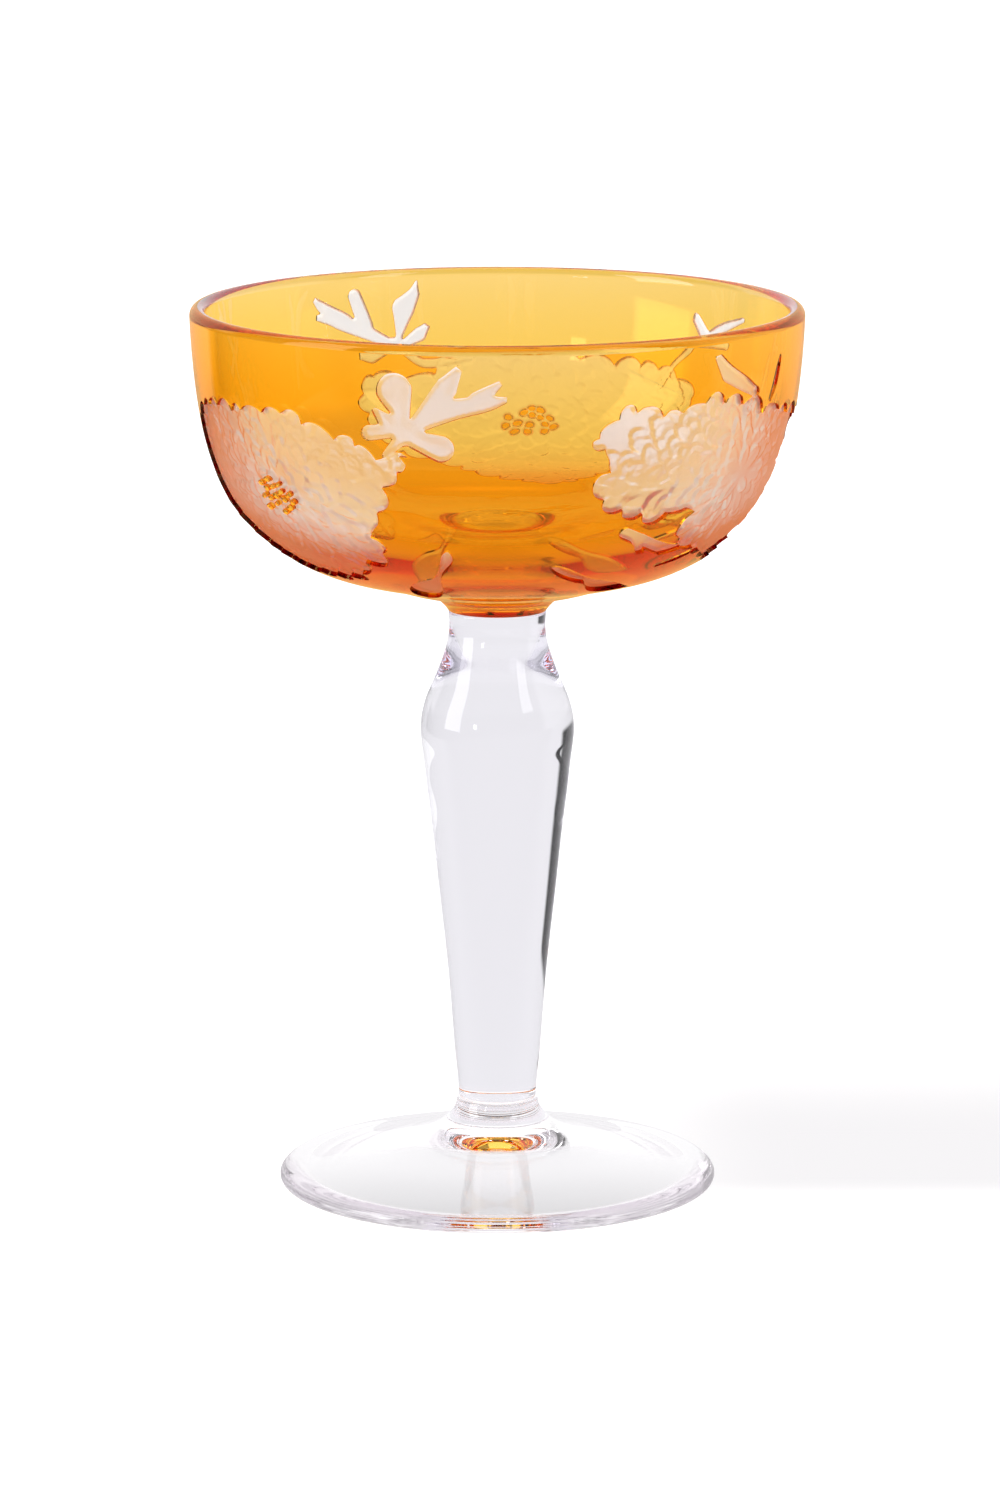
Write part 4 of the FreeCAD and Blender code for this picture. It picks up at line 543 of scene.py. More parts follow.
def triangulate(spacing, window_spacing=None):
    """Delaunay mesh of the unrolled bowl with every outline as an edge.
    Returns domain points, triangles and each triangle's kind:
    0 amber, 1 window, 2 and up the studs."""
    arcs = np.linspace(0, ARC_END, int(round(ARC_END / spacing)) + 1)
    points = point_rows(arcs, spacing)
    if window_spacing:
        points = points[~inside_any(points, WINDOW_POLYGONS)]
        fine = point_rows(np.arange(0.4, ARC_END - 0.3, window_spacing * 0.87), window_spacing)
        points = np.vstack([points, fine[inside_any(fine, WINDOW_POLYGONS)]])
    # keep loose points clear of the outlines
    clearance = np.where(inside_any(points, WINDOW_POLYGONS),
                         (window_spacing or spacing) * 0.45, min(spacing * 0.4, 0.4))
    points = points[edge_distance(points) > clearance]
    verts = [Vector((float(x), float(y))) for x, y in points]
    edges = []
    for polygon in ALL_POLYGONS:
        base, count = len(verts), len(polygon)
        verts += [Vector((float(x), float(y))) for x, y in polygon]
        edges += [(base + i, base + (i + 1) % count) for i in range(count)]
    for theta in (SEAM, SEAM + 2 * math.pi):
        base = len(verts)
        verts += [Vector((theta, float(q))) for q in q_at(arcs)]
        edges += [(base + i, base + i + 1) for i in range(len(arcs) - 1)]
    found = delaunay_2d_cdt(verts, edges, [], 0, 1e-7)
    domain = np.array([(vert[0], vert[1]) for vert in found[0]])
    triangles = np.array(found[2], int)
    # close the seam
    on_left = np.where(np.abs(domain[:, 0] - SEAM) < 1e-6)[0]
    on_right = np.where(np.abs(domain[:, 0] - (SEAM + 2 * math.pi)) < 1e-6)[0]
    remap = np.arange(len(domain))
    for i in on_right:
        remap[i] = on_left[np.argmin(np.abs(domain[on_left, 1] - domain[i, 1]))]
    corners = domain[triangles]            # still unwrapped, for the tests below
    triangles = remap[triangles]
    side_a, side_b = corners[:, 1] - corners[:, 0], corners[:, 2] - corners[:, 0]
    area = side_a[:, 0] * side_b[:, 1] - side_b[:, 0] * side_a[:, 1]
    triangles[area < 0] = triangles[area < 0][:, ::-1]
    solid = np.abs(area) > 1e-14
    triangles, centres = triangles[solid], corners.mean(1)[solid]
    kind = inside_any(centres, WINDOW_POLYGONS).astype(int)
    for k, (_, polygon) in enumerate(STUD_POLYGONS):
        kind[inside(centres, polygon)] = 2 + k
    return domain, triangles, kind


def compact(domain, triangles):
    """The theta, q points in use and the triangles renumbered to them."""
    used, index = np.unique(triangles, return_inverse=True)
    return domain[used], index.reshape(-1, 3)


def boundary(triangles):
    """Directed edges used by one triangle only."""
    open_edges = {}
    for a, b in np.vstack([triangles[:, pair] for pair in ([0, 1], [1, 2], [2, 0])]).tolist():
        if (b, a) in open_edges:
            del open_edges[(b, a)]
        else:
            open_edges[(a, b)] = True
    return list(open_edges)


def edges_at(edges, arc, level):
    return [(a, b) for a, b in edges
            if abs(arc[a] - level) < END_TOLERANCE and abs(arc[b] - level) < END_TOLERANCE]


# ------------------------------------------------------------- mesh building
def make_object(name, verts, faces, materials, material_index, contact, normals=None):
    """verts in mm; normals one per face corner, NaN for the face's own."""
    mesh = bpy.data.meshes.new(name)
    mesh.from_pydata((np.asarray(verts) * MM).tolist(), [],
                     [tuple(int(i) for i in face) for face in faces])
    for material in materials:
        mesh.materials.append(material)
    mesh.polygons.foreach_set("material_index", np.asarray(material_index, np.int32))
    mesh.polygons.foreach_set("use_smooth", np.ones(len(faces), bool))
    attribute = mesh.attributes.new("contact", "FLOAT", "FACE")
    attribute.data.foreach_set("value", np.asarray(contact, np.float32))
    mesh.update()
    if normals is not None:
        face_normals = np.zeros(len(faces) * 3, np.float32)
        mesh.polygons.foreach_get("normal", face_normals)
        per_corner = np.repeat(face_normals.reshape(-1, 3), [len(face) for face in faces], axis=0)
        flat = np.isnan(normals[:, 0])
        normals[flat] = per_corner[flat]
        mesh.normals_split_custom_set(normals.tolist())
    piece = bpy.data.objects.new(name, mesh)
    bpy.context.scene.collection.objects.link(piece)
    return piece


class Shell:
    """Collects faces with their corner normals, contact flags and material slots."""

    def __init__(self):
        self.faces, self.normals, self.contact, self.slots = [], [], [], []

    def add(self, faces, contact, normals=None, slot=0):
        """contact and slot are one value, or one per face."""
        faces = np.asarray(faces)
        if normals is None:
            normals = np.full((faces.size, 3), np.nan)
        self.faces += faces.tolist()
        self.normals.append(np.reshape(normals, (-1, 3)))
        self.contact += np.broadcast_to(contact, len(faces)).tolist()
        self.slots += np.broadcast_to(slot, len(faces)).tolist()

    def build(self, name, verts, materials):
        return make_object(name, verts, self.faces, materials, self.slots, self.contact,
                           np.vstack(self.normals))


def casing_piece(name, domain, triangles, material, lip_points=0):
    """A closed piece of the amber casing; lip_points adds the rolled rim and base disc."""
    domain, triangles = compact(domain, triangles)
    theta, arc = domain[:, 0], arc_at(domain[:, 1])
    count = len(theta)                     # inner vertex = outer vertex + count
    outer, out_normals = bowl_surface(theta, arc, 0.0)
    inner, _ = bowl_surface(theta, arc, casing_thickness(arc))
    verts = np.vstack([outer, inner])
    normals = np.vstack([out_normals, -out_normals])
    edges = boundary(triangles)
    rim_edges = edges_at(edges, arc, ARC_END)
    base_edges = edges_at(edges, arc, 0.0)
    ends = set(rim_edges + base_edges)
    inner_faces = triangles[:, ::-1] + count
    shell = Shell()
    shell.add(triangles, 0.0, normals[triangles])
    shell.add(inner_faces, 1.0, normals[inner_faces])
    shell.add([[b, a, a + count, b + count] for a, b in edges if (a, b) not in ends], 0.0)
    if lip_points:
        # the casing rolls over the rounded edge and tapers to nothing at the crest
        curve = bezier(CASING_LIP, lip_points)
        rim = [a for a, _ in rim_edges]
        base = len(verts)
        column = {a: [a] + [base + j * len(rim) + i for j in range(lip_points - 1)]
                  for i, a in enumerate(rim)}
        verts = np.vstack([verts] + [turned(theta[rim], r, z) for r, z in curve[1:]])
        normals = np.vstack(
            [normals] + [turned(theta[rim], r, z) for r, z in unit_normals(curve)[1:]])
        for a, b in rim_edges:
            left, right = column[a], column[b]
            quads = np.c_[right[:-1], left[:-1], left[1:], right[1:]]
            shell.add(quads, 0.0, normals[quads])
            shell.add([[right[-1], left[-1], a + count, b + count]], 1.0)
        centre = len(verts)
        at_base = base_edges[0][0]
        verts = np.vstack([verts, [[0, 0, outer[at_base, 2]], [0, 0, inner[at_base, 2]]]])
        for a, b in base_edges:
            shell.add([[b, a, centre], [a + count, b + count, centre + 1]], 1.0)
    return shell.build(name, verts, [material])


# ---------------------------------------------------------------- materials
class Graph:
    """Adds shader nodes to the emptied node tree of a material or world."""

    def __init__(self, owner):
        owner.use_nodes = True
        self.tree = owner.node_tree
        self.tree.nodes.clear()

    def add(self, kind, inputs=None, **settings):
        """Add a node, give its inputs values or links, and return its outputs."""
        node = self.tree.nodes.new("ShaderNode" + kind)
        for key, value in settings.items():
            setattr(node, key, value)
        for key, value in (inputs or {}).items():
            if isinstance(value, bpy.types.NodeSocket):
                self.tree.links.new(value, node.inputs[key])
            else:
                node.inputs[key].default_value = value
        return node.outputs

    def math(self, operation, *operands):
        return self.add("Math", dict(enumerate(operands)), operation=operation)[0]

    def product(self, first, second):
        return self.math("MULTIPLY", first, second)

    def ramp(self, value, start, end, low=0.0, high=1.0, shape="SMOOTHSTEP"):
        """low up to start, high from end on."""
        inputs = {0: value, 1: start, 2: end, 3: low, 4: high}
        return self.add("MapRange", inputs, interpolation_type=shape)[0]

    def mix(self, factor, first, second):
        return self.add("MixShader", {0: factor, 1: first, 2: second})[0]

    def mix_colour(self, factor, first, second):
        return self.add("Mix", {0: factor, 6: first, 7: second}, data_type="RGBA")[2]

    def object_xyz(self):
        return self.add("SeparateXYZ", {0: self.add("TexCoord")["Object"]})

    def see_through(self, surface, factor, tint=(1, 1, 1)):
        clear = self.add("BsdfTransparent", {"Color": (*tint, 1)})[0]
        return self.mix(factor, surface, clear)

    def contact(self, surface):
        """Faces flagged as contact are index matched: light goes through unbent."""
        return self.see_through(surface, self.add("Attribute", attribute_name="contact")["Fac"])

    def glass_output(self, surface, shadow_tint, **more):
        """Output in which shadow rays pass straight through, tinted."""
        is_shadow = self.add("LightPath")["Is Shadow Ray"]
        surface = self.see_through(surface, is_shadow, shadow_tint)
        self.add("OutputMaterial", {"Surface": surface, **more})

    def waviness(self, scale, strength, distance, stretch=(1, 1, 1), detail=2.0):
        """Bump normal from noise in object space."""
        place = self.add("Mapping", {0: self.add("TexCoord")["Object"], "Scale": stretch})[0]
        noise = self.add("TexNoise", {"Vector": place, "Scale": scale, "Detail": detail})
        return self.add("Bump", {"Strength": strength, "Distance": distance,
                                 "Height": noise["Fac"]})["Normal"]


def new_material(name):
    material = bpy.data.materials.new(name)
    return material, Graph(material)


IOR = 1.5
AMBER_PASS = (0.972, 0.87, 0.30)       # what one nominal casing thickness lets through
AMBER_TINT_LOW = (1.0, 0.65, 0.22, 1)  # surface tint, on top of the absorption
AMBER_TINT_TOP = (1.0, 0.73, 0.40, 1)
AMBER_TINT_HEIGHTS = (0.116, 0.145)    # metres; the tint changes between these


def amber_material():
    material, graph = new_material("amber_casing_glass")
    height = graph.object_xyz()[2]
    rise = graph.ramp(height, *AMBER_TINT_HEIGHTS, shape="LINEAR")
    glass = graph.add("BsdfGlass", {
        "IOR": IOR, "Roughness": 0.0,
        "Normal": graph.waviness(scale=45.0, strength=0.5, distance=0.00006),
        "Color": graph.mix_colour(rise, AMBER_TINT_LOW, AMBER_TINT_TOP)})[0]
    absorbed = [-math.log(share) / (NOMINAL_CASING * MM) for share in AMBER_PASS]
    density = max(absorbed)
    colour = tuple(1 - value / density for value in absorbed)
    volume = graph.add("VolumeAbsorption", {"Color": (*colour, 1), "Density": density})[0]
    graph.glass_output(graph.contact(glass), (0.90, 0.87, 0.84), Volume=volume)
    return material


def clear_material(name, colour=(1, 1, 1), **wave):
    material, graph = new_material(name)
    glass = graph.add("BsdfGlass", {"IOR": IOR, "Roughness": 0.0, "Color": (*colour, 1),
                                    "Normal": graph.waviness(**wave)})[0]
    graph.glass_output(glass, (0.97, 0.97, 0.97))
    return material


def matched_material(name, tint=(1, 1, 1)):
    """A joint that only tints: light goes through unbent."""
    material, graph = new_material(name)
    clear = graph.add("BsdfTransparent", {"Color": (*tint, 1)})[0]
    graph.add("OutputMaterial", {"Surface": clear})
    return material


def frosted_material():
    """Satin carved glass, pale seen square on, with painted shade: darker and browner low down
    and edge on, and slightly browner high in front.
    """
    material, graph = new_material("frosted_carved_glass")
    normal = graph.waviness(scale=2600.0, strength=0.35, distance=0.00006, detail=3.0)
    facing = graph.add("LayerWeight", {"Blend": 0.5})["Facing"]
    _, y, z = graph.object_xyz()
    # painted shade: darker and browner low down, where the carving faces downwards
    low = graph.ramp(z, 0.099, 0.118, low=1.0, high=0.0)
    # painted shade: darker and browner where the surface turns edge on, so relief slopes and
    # outline edges show dark
    side = graph.ramp(facing, 0.34, 0.80, high=0.85)
    high = graph.product(graph.ramp(z, 0.119, 0.127, high=0.16),
                         graph.ramp(y, -0.02, 0.0, low=1.0, high=0.0))
    frosted_painted_shade = graph.math("ADD", graph.math("ADD", low, high), side)
    frosted_painted_shade = graph.math("MINIMUM", frosted_painted_shade, 1.0)
    # the painted shade colour, a dark brown, mixed over the pale satin colour
    colour = graph.mix_colour(frosted_painted_shade, (1.0, 0.98, 0.965, 1), (0.88, 0.36, 0.18, 1))
    coat = {"Color": colour, "Normal": normal}
    glass = graph.add("BsdfGlass", {"IOR": IOR, "Roughness": 0.30, **coat})[0]
    satin = graph.mix(0.5, graph.add("BsdfDiffuse", coat)[0],
                      graph.add("BsdfTranslucent", coat)[0])
    share = graph.ramp(facing, 0.40, 0.95, low=0.24, high=0.60)
    graph.glass_output(graph.mix(share, glass, satin), (0.85, 0.85, 0.85))
    return material


AMBER = amber_material()
CLEAR_BOWL = clear_material("clear_bowl_glass", scale=40.0, strength=0.5, distance=0.00006)
MATCHED = matched_material("index_matched_joint")
MATCHED_AMBER = matched_material("index_matched_amber_joint", (1.0, 0.64, 0.24))
FROSTED = frosted_material()
CLEAR_STEM = clear_material("clear_stem_glass", (0.985, 0.98, 1.0), scale=60.0, strength=0.5,
                            distance=0.00002, stretch=(1, 1, 0.15))
CLEAR_FOOT = clear_material("clear_foot_glass", (0.98, 0.975, 0.98), scale=60.0, strength=0.5,
                            distance=0.00005)


# -------------------------------------------------------------- amber casing
def build_casing():
    """The casing with its windows cut out, and the studs of the left and back flowers."""
    domain, triangles, kind = triangulate(CASING_SPACING)
    pieces = [casing_piece("amber_casing", domain, triangles[kind == 0], AMBER,
                           lip_points=CASING_LIP_POINTS)]
    for motif in STUDS:
        seeds = [triangles[kind == 2 + k]
                 for k, (owner, _) in enumerate(STUD_POLYGONS) if owner == motif]
        pieces.append(casing_piece(motif + "_amber_seeds", domain, np.vstack(seeds), AMBER))
    return pieces


# --------------------------------------------------------------- bowl liner
def petals(count, spread_x, spread_up, spread_down, centre_x, centre_y, seed):
    """Overlapping petal tips laid out in a spiral from the eye of a flower outwards.
    Columns: x, y, turn, half length, half width, lift."""
    rng = np.random.default_rng(seed)
    k = np.arange(1, count + 1)
    share = np.sqrt((k + 6.0) / (count + 6.0))
    golden_angle = 2.399963
    angle = k * golden_angle + rng.normal(0, 0.10, count)
    across = spread_x * share * np.cos(angle)
    up = np.where(np.sin(angle) > 0, spread_up, spread_down) * share * np.sin(angle)
    x = centre_x + across + rng.normal(0, 0.35, count)
    y = centre_y + up + rng.normal(0, 0.30, count)
    turn = np.arctan2(up, across) + rng.normal(0, 0.30, count)
    half_length = rng.uniform(1.7, 3.0, count)
    half_width = rng.uniform(0.95, 1.7, count)
    lift = rng.uniform(0.55, 1.15, count)
    return np.c_[x, y, turn, half_length, half_width, lift]


PETALS = {
    "left_flower": petals(400, spread_x=30.0, spread_up=17.0, spread_down=20.0,
                          centre_x=0.0, centre_y=0.0, seed=11),
    "right_flower": petals(410, spread_x=33.0, spread_up=16.0, spread_down=20.0,
                           centre_x=-1.0, centre_y=1.0, seed=12),
    "back_flower": petals(400, spread_x=32.0, spread_up=14.0, spread_down=24.0,
                          centre_x=0.0, centre_y=1.0, seed=13),
}
PETAL_REACH = 4.5


def petal_relief(across, up, table):
    """Height of the topmost petal at each point; inner petals lie on top."""
    relief = np.zeros(len(across))
    free = np.ones(len(across), bool)
    for x, y, turn, half_length, half_width, lift in table:
        right, rise = across - x, up - y
        near = np.where(free & (np.abs(right) < PETAL_REACH) & (np.abs(rise) < PETAL_REACH))[0]
        right, rise = right[near], rise[near]
        cos, sin = math.cos(turn), math.sin(turn)
        length = (right * cos + rise * sin) / half_length       # -1 base to +1 tip
        width = (-right * sin + rise * cos) / half_width
        radius = np.sqrt(length * length + width * width)
        within = radius < 1.0
        near, length, width, radius = (v[within] for v in (near, length, width, radius))
        slope = ((length + 1) / 2) ** 1.6 * (0.62 + 0.38 * width * width)
        edge = np.minimum((1.0 - radius) / 0.16, 1)
        relief[near] = lift * slope * (0.35 + 0.65 * edge ** 0.6)
        free[near] = False
    return relief


def carve_depth(domain, arc, carved):
    """Depth of the liner's outer face below the bowl's outer surface."""
    depth = casing_thickness(arc) + GAP
    index = np.where(carved)[0]
    points, arc = domain[index], arc[index]
    distance = edge_distance(points)
    ramp = np.clip(distance / 0.45, 0, 1)
    ramp = ramp * ramp * (3 - 2 * ramp)
    relief = np.zeros(len(index))
    for motif, polygons in WINDOWS.items():
        mask = inside_any(points, polygons)
        if motif in PETALS:
            azimuth, arc_centre = CENTRES[motif]
            theta = points[mask, 0] - math.radians(azimuth)
            theta = (theta + math.pi) % (2 * math.pi) - math.pi
            height = petal_relief(theta * radius_at(arc[mask]), arc[mask] - arc_centre,
                                  PETALS[motif])
            relief[mask] = 0.36 - 0.58 * height
        else:
            # leaves are cut deepest along their edges
            inward = np.clip(distance[mask] / 2.2, 0, 1)
            relief[mask] = np.maximum(relief[mask], 0.16 * (1 - inward) ** 1.5)
    depth[index] += 0.20 * ramp
    depth[index] += ramp * relief
    depth[index] = np.maximum(depth[index], casing_thickness(arc) + GAP + 0.02 * ramp)
    return depth


def averaged_normals(points, triangles):
    """Vertex normals averaged over the triangles, weighted by area."""
    corner = points[triangles]
    face_normals = np.cross(corner[:, 1] - corner[:, 0], corner[:, 2] - corner[:, 0])
    normals = np.zeros((len(points), 3))
    for k in range(3):
        np.add.at(normals, triangles[:, k], face_normals)
    return normals / (np.linalg.norm(normals, axis=1)[:, None] + 1e-20)


def zip_loops(loop, loop_angles, ring_start):
    """Triangles joining a loop of vertices to the first ring of the cavity."""
    ring_count = CAVITY_SEGMENTS
    angles_a = np.r_[loop_angles, loop_angles[0] + 2 * math.pi]
    angles_b = np.arange(ring_count + 1) * 2 * math.pi / ring_count
    faces = []
    i = j = 0
    while i < len(loop) or j < ring_count:
        here, ring = loop[i % len(loop)], ring_start + j % ring_count
        if j >= ring_count or (i < len(loop) and angles_a[i + 1] <= angles_b[j + 1]):
            faces.append([here, loop[(i + 1) % len(loop)], ring])
            i += 1
        else:
            faces.append([here, ring_start + (j + 1) % ring_count, ring])
            j += 1
    return faces


def build_liner():
    """The clear bowl: carved outer face, rounded lip and smooth cavity."""
    domain, triangles, kind = triangulate(LINER_SPACING, CARVED_SPACING)
    domain, triangles = compact(domain, triangles)
    theta, arc = domain[:, 0], arc_at(domain[:, 1])
    in_window = kind == 1
    # a vertex is carved when every triangle round it is a window triangle
    carved = np.ones(len(domain), bool)
    carved[triangles[~in_window]] = False
    outer, out_normals = bowl_surface(theta, arc, carve_depth(domain, arc, carved))
    corner_normals = out_normals[triangles]
    window_triangles = triangles[in_window]
    corner_normals[in_window] = averaged_normals(outer, window_triangles)[window_triangles]

    # rings over the lip and down the cavity to its lowest point
    cavity = natural_spline(CAVITY_PROFILE[::-1], 900)
    lengths = arc_lengths(cavity)
    stops = np.linspace(0, lengths[-1], CAVITY_POINTS)[1:-1]
    rings = np.vstack([bezier(LINER_LIP, LINER_LIP_POINTS),
                       np.c_[np.interp(stops, lengths, cavity[:, 0]),
                             np.interp(stops, lengths, cavity[:, 1])]])
    segments = CAVITY_SEGMENTS
    angles = np.arange(segments) * 2 * math.pi / segments + SEAM
    ring_verts = [turned(angles, r, z) for r, z in rings]
    ring_normals = np.vstack([turned(angles, r, z) for r, z in unit_normals(rings)]
                             + [[[0.0, 0.0, 1.0]]])

    edges = boundary(triangles)
    base_edges = edges_at(edges, arc, 0.0)
    ring_start = len(outer)
    verts = np.vstack([outer] + ring_verts
                      + [[[0, 0, cavity[-1, 1]], [0, 0, outer[base_edges[0][0], 2]]]])
    shell = Shell()
    shell.add(triangles, np.where(in_window, 0.0, 1.0), corner_normals,
              slot=np.where(in_window, 2, 1))
    i = np.arange(segments)
    after = np.roll(i, -1)
    for j in range(len(rings) - 1):
        above, below = j * segments, (j + 1) * segments
        quads = np.c_[above + i, above + after, below + after, below + i]
        shell.add(quads + ring_start, 0.0, ring_normals[quads])
    apex = len(rings) * segments
    last = apex - segments
    fan = np.c_[last + i, last + after, np.full(segments, apex)]
    shell.add(fan + ring_start, 0.0, ring_normals[fan])

    # step over the casing's top edge, then the base disc
    offsets = (theta - SEAM) % (2 * math.pi)
    loop = sorted([a for a, _ in edges_at(edges, arc, ARC_END)], key=lambda a: offsets[a])
    shell.add(zip_loops(loop, offsets[loop], ring_start), 1.0, slot=1)
    shell.add([[b, a, ring_start + apex + 1] for a, b in base_edges], 1.0, slot=1)
    return shell.build("bowl_liner_carved", verts, [CLEAR_BOWL, MATCHED, FROSTED])


# ------------------------------------------------------- stem, merese, foot
def lathe(name, sections, materials):
    """Closed turned solid. sections: (points, contact flag), running from axis to axis."""
    profile, flags = [], []
    for points, flag in sections:
        for r, z in points:
            if profile and math.hypot(r - profile[-1][0], z - profile[-1][1]) < 1e-5:
                continue
            profile.append((r, z))
            flags.append(flag)
    angles = np.arange(LATHE_SEGMENTS) * 2 * math.pi / LATHE_SEGMENTS
    verts, index = [], []
    for r, z in profile:
        if r < 1e-6:
            index.append(np.full(LATHE_SEGMENTS, len(verts)))
            verts.append((0, 0, z))
        else:
            index.append(len(verts) + np.arange(LATHE_SEGMENTS))
            verts += turned(angles, r, z).tolist()
    faces, contact = [], []
    for upper, lower, flag in zip(index, index[1:], flags[1:]):
        for i in range(LATHE_SEGMENTS):
            after = (i + 1) % LATHE_SEGMENTS
            face = [upper[i], lower[i], lower[after], upper[after]]
            if upper[0] == upper[1]:
                face = face[:3]
            elif lower[0] == lower[1]:
                face = [upper[i], lower[i], upper[after]]
            faces.append(face)
            contact.append(flag)
    return make_object(name, verts, faces, materials, [int(flag) for flag in contact], contact)


def build_stem():
    stem = lathe("stem_drawn", [
        ([(0.0, BASE_Z - GAP), (BASE_R, BASE_Z - GAP)], 1.0),
        (natural_spline(STEM_PROFILE, STEM_POINTS), 0.0),
        (natural_spline(STEM_END, 8), 0.0),
        ([(6.1, STEM_FOOT_Z + GAP), (0.0, STEM_FOOT_Z + GAP)], 1.0),
    ], [CLEAR_STEM, MATCHED, MATCHED_AMBER])
    upper_part = 0.09                      # metres; only the top joint is above this
    for face in stem.data.polygons:
        if face.material_index == 1 and face.center.z > upper_part:
            face.material_index = 2
    return stem


def build_merese():
    return lathe("stem_merese_button", [
        ([(0.0, STEM_FOOT_Z), (6.15, STEM_FOOT_Z)], 1.0),
        (natural_spline(MERESE_SHOULDER, 8), 0.0),
        (natural_spline(MERESE_SKIRT, 14), 0.0),
        ([(COLLAR_R, COLLAR_Z + GAP), (0.0, COLLAR_Z + GAP)], 1.0),
    ], [CLEAR_STEM, MATCHED])


def build_foot():
    return lathe("foot_spread", [
        ([(0.0, COLLAR_Z), (COLLAR_R, COLLAR_Z)], 1.0),
        (natural_spline(FOOT_PROFILE, 110, power=0.7), 0.0),
        ([(34.8, 0.0), (33.0, 0.0), (HOLLOW_R, 0.0)], 0.0),
        (natural_spline(FOOT_HOLLOW, 60), 0.0),
    ], [CLEAR_FOOT, MATCHED])


casing, left_seeds, back_seeds = build_casing()
for piece, part, slot in (
        (casing, "amber_overlay", "amber_glass"),
        (left_seeds, "left_flower_seeds", "amber_glass"),
        (back_seeds, "back_flower_seeds", "amber_glass"),
        (build_liner(), "bowl_liner", "clear_bowl_glass"),
        (build_stem(), "stem", "clear_glass"),
        (build_merese(), "stem_merese", "clear_glass"),
        (build_foot(), "foot", "clear_glass")):
    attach(piece, "root")
    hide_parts(part)


# --------------------------------------------------------- floor and lights
def floor_material():
    """White paper to the camera's own rays, with a painted shadow just behind the foot to the
    right;
    seen in or through the glass, a lit patch that fades to the front and to the left."""
    material, graph = new_material("white_floor")
    x, y, _ = graph.add("SeparateXYZ", {0: graph.add("NewGeometry")["Position"]})
    path = graph.add("LightPath")

    patch = graph.product(graph.ramp(y, -0.08, 0.01, low=0.30), graph.ramp(x, -2.1, -1.6))
    around = graph.math("ARCTAN2", x, y)
    away = graph.ramp(x, -0.45, -0.30, low=1.0, high=0.0)
    far_left = graph.product(away, graph.ramp(around, math.radians(-49), math.radians(-43),
                                              low=1.0, high=0.0))
    patch = graph.product(patch, graph.math("SUBTRACT", 1.0, far_left))
    # brighter behind, where the ray has passed one or several transparent joints
    once = graph.math("GREATER_THAN", path["Transparent Depth"], 0.5)
    often = graph.math("GREATER_THAN", path["Transparent Depth"], 2.5)
    lift = graph.math("ADD", graph.product(once, 0.17), graph.product(often, 0.17))
    lift = graph.product(lift, graph.ramp(y, 0.38, 0.62))
    patch = graph.product(patch, graph.math("ADD", lift, 1.0))
    seen_in_glass = graph.add("Emission", {"Color": (0.99, 0.985, 1.0, 1),
                                           "Strength": graph.product(patch, 0.93)})[0]

    paper = graph.add("AddShader", {
        0: graph.add("BsdfDiffuse", {"Color": (0.95, 0.95, 0.955, 1)})[0],
        1: graph.add("Emission", {"Strength": 0.30})[0]})[0]
    # a painted shadow: flat grey emission in place of the paper just behind the foot, to the
    # right, where the glass's soft shadow falls
    painted_shadow_mask = graph.product(graph.ramp(y, -0.03, 0.0), graph.ramp(y, 0.03, 0.17, low=1.0, high=0.0))
    painted_shadow_mask = graph.product(painted_shadow_mask, graph.ramp(x, -0.03, 0.05))
    painted_shadow = graph.add("Emission", {"Color": (0.93, 0.915, 0.93, 1)})[0]
    seen_directly = graph.mix(painted_shadow_mask, paper, painted_shadow)
    graph.add("OutputMaterial", {
        "Surface": graph.mix(path["Is Camera Ray"], seen_in_glass, seen_directly)})
    return material


def build_floor(half=4, drop=0.0002):
    mesh = bpy.data.meshes.new("table_floor")
    mesh.from_pydata([(-half, -half, 0), (half, -half, 0), (half, half, 0), (-half, half, 0)],
                     [], [(0, 1, 2, 3)])
    floor = bpy.data.objects.new("table_floor", mesh)
    bpy.context.scene.collection.objects.link(floor)
    floor.location.z = -drop
    mesh.materials.append(floor_material())
    floor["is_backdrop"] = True


def softbox(graph, direction, azimuth, elevation, half_width, half_height, strength):
    """A bright panel in degrees; azimuth 0 is behind the glass, positive to the right."""
    x, y, z = direction
    level = []
    for angle, centre, half in ((graph.math("ARCTAN2", x, y), azimuth, half_width),
                                (graph.math("ARCSINE", z), elevation, half_height)):
        offset = graph.math("ABSOLUTE", graph.math("SUBTRACT", angle, math.radians(centre)))
        level.append(graph.ramp(offset, math.radians(half * 0.85), math.radians(half),
                                low=1, high=0))
    return graph.product(graph.product(*level), strength)


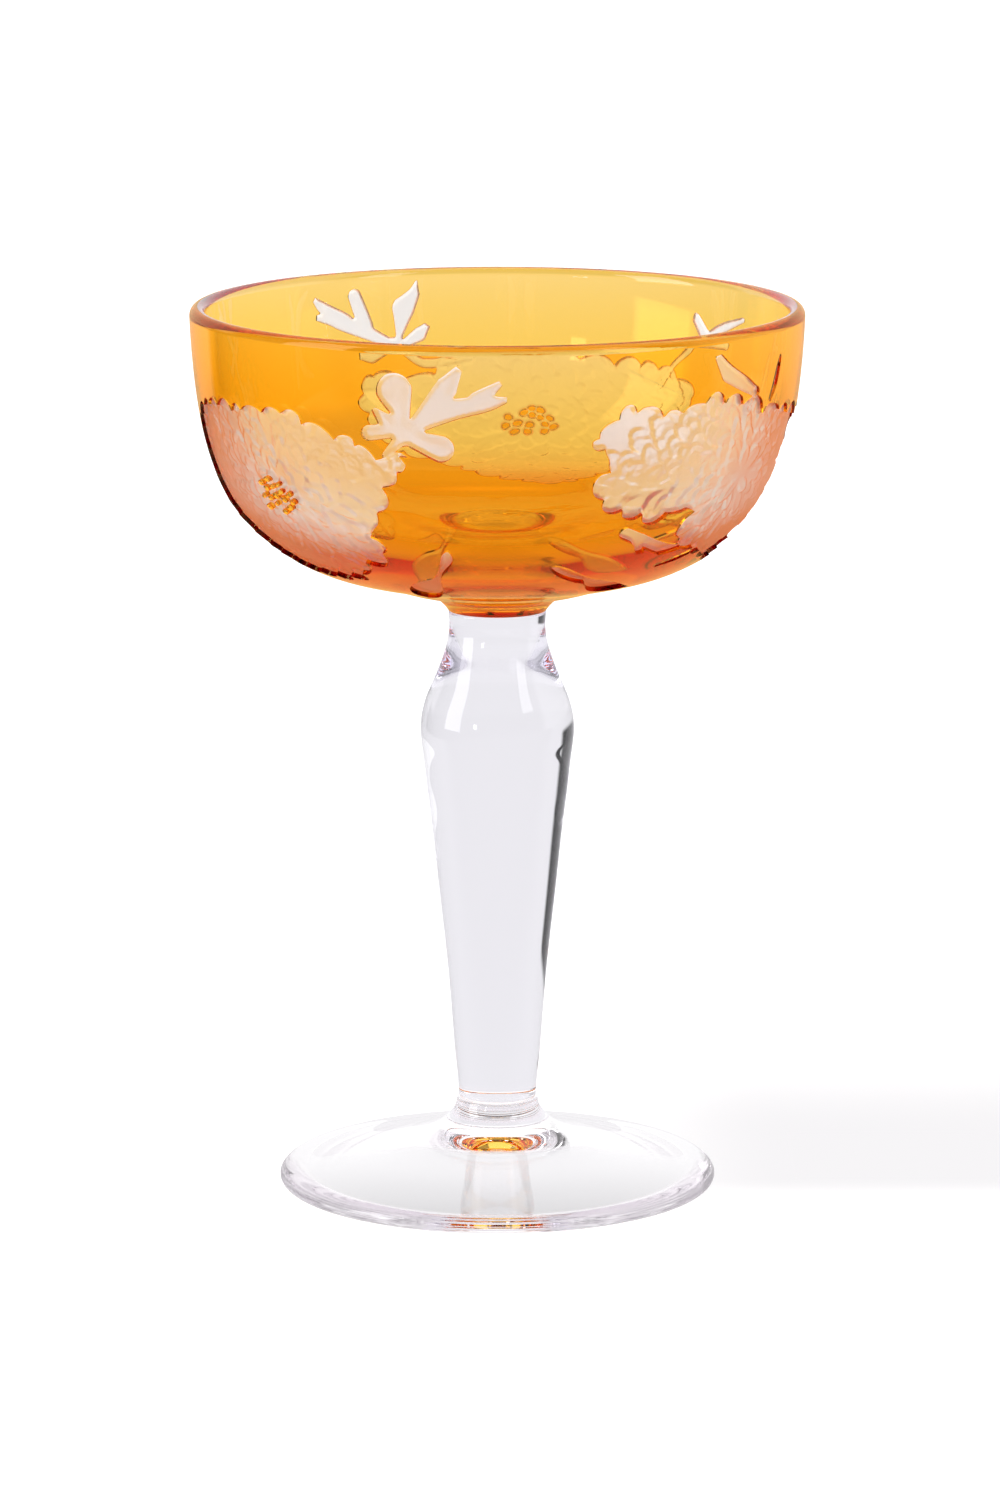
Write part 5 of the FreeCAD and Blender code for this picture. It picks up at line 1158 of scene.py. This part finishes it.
def build_world():
    """Plain white to the camera; a bright arc behind, a soft top and three panels to the rest."""
    world = bpy.data.worlds.new("studio")
    bpy.context.scene.world = world
    graph = Graph(world)
    direction = graph.add("SeparateXYZ", {0: graph.add("TexCoord")["Generated"]})
    x, y, z = direction
    azimuth = graph.math("ARCTAN2", x, y)

    def azimuth_ramp(start, end, low, high):
        return graph.ramp(azimuth, math.radians(start), math.radians(end), low, high)

    bright = graph.product(azimuth_ramp(-66, -57, 0, 1), azimuth_ramp(96, 112, 1, 0))
    low_left = graph.product(azimuth_ramp(-50, -43, 1, 0), graph.ramp(z, 0.03, 0.12, 1, 0))
    bright = graph.product(bright, graph.math("SUBTRACT", 1.0, low_left))
    level = graph.math("ADD", graph.product(bright, 1.13), 0.03)
    level = graph.math("ADD", level, graph.ramp(z, 0.60, 0.9, high=0.45))
    # azimuth, elevation, half width, half height, strength
    for panel in ((-108, 22, 15, 26, 4.0), (-146, 8, 3.5, 3.0, 7.0), (128, 38, 10, 18, 3.0)):
        level = graph.math("ADD", level, softbox(graph, direction, *panel))
    path = graph.add("LightPath")
    diffuse_boost = graph.product(path["Is Diffuse Ray"], 0.45)
    level = graph.product(level, graph.math("ADD", diffuse_boost, 1.0))
    white = (1, 1, 1, 1)
    studio = graph.add("Background", {"Color": white, "Strength": level})[0]
    backdrop = graph.add("Background", {"Color": white, "Strength": 1.0})[0]
    graph.add("OutputWorld", {"Surface": graph.mix(path["Is Camera Ray"], studio, backdrop)})


def build_camera():
    """In front of the glass, looking slightly down."""
    lens = bpy.data.cameras.new("camera")
    camera = bpy.data.objects.new("camera", lens)
    bpy.context.scene.collection.objects.link(camera)
    lens.sensor_width = 36.0
    lens.lens = 163.70
    lens.clip_start = 0.01
    lens.clip_end = 50
    camera.location = (0.00044, -1.1019, 0.29328)
    camera.rotation_euler = (math.pi / 2 - 0.19755, 0, 0)
    bpy.context.scene.camera = camera


def set_render():
    """Enough bounces for light to get through many glass skins."""
    scene = bpy.context.scene
    scene.view_settings.view_transform = "Standard"
    cycles = scene.cycles
    cycles.max_bounces = 64
    cycles.diffuse_bounces = 8
    cycles.glossy_bounces = 48
    cycles.transmission_bounces = 64
    cycles.transparent_max_bounces = 192
    cycles.caustics_reflective = True
    cycles.caustics_refractive = True


build_floor()
build_world()
build_camera()
set_render()

bounds_at_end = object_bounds()


def plain(value):
    """Bounds as plain JSON values."""
    if isinstance(value, dict):
        return {str(key): plain(item) for key, item in value.items()}
    if isinstance(value, (list, tuple)) or hasattr(value, "to_tuple"):
        return [plain(item) for item in value]
    # guards entries of the bounds that are not numbers
    try:
        return float(value)
    except (TypeError, ValueError):
        return str(value)


{"load": plain(bounds_at_load), "end": plain(bounds_at_end)}
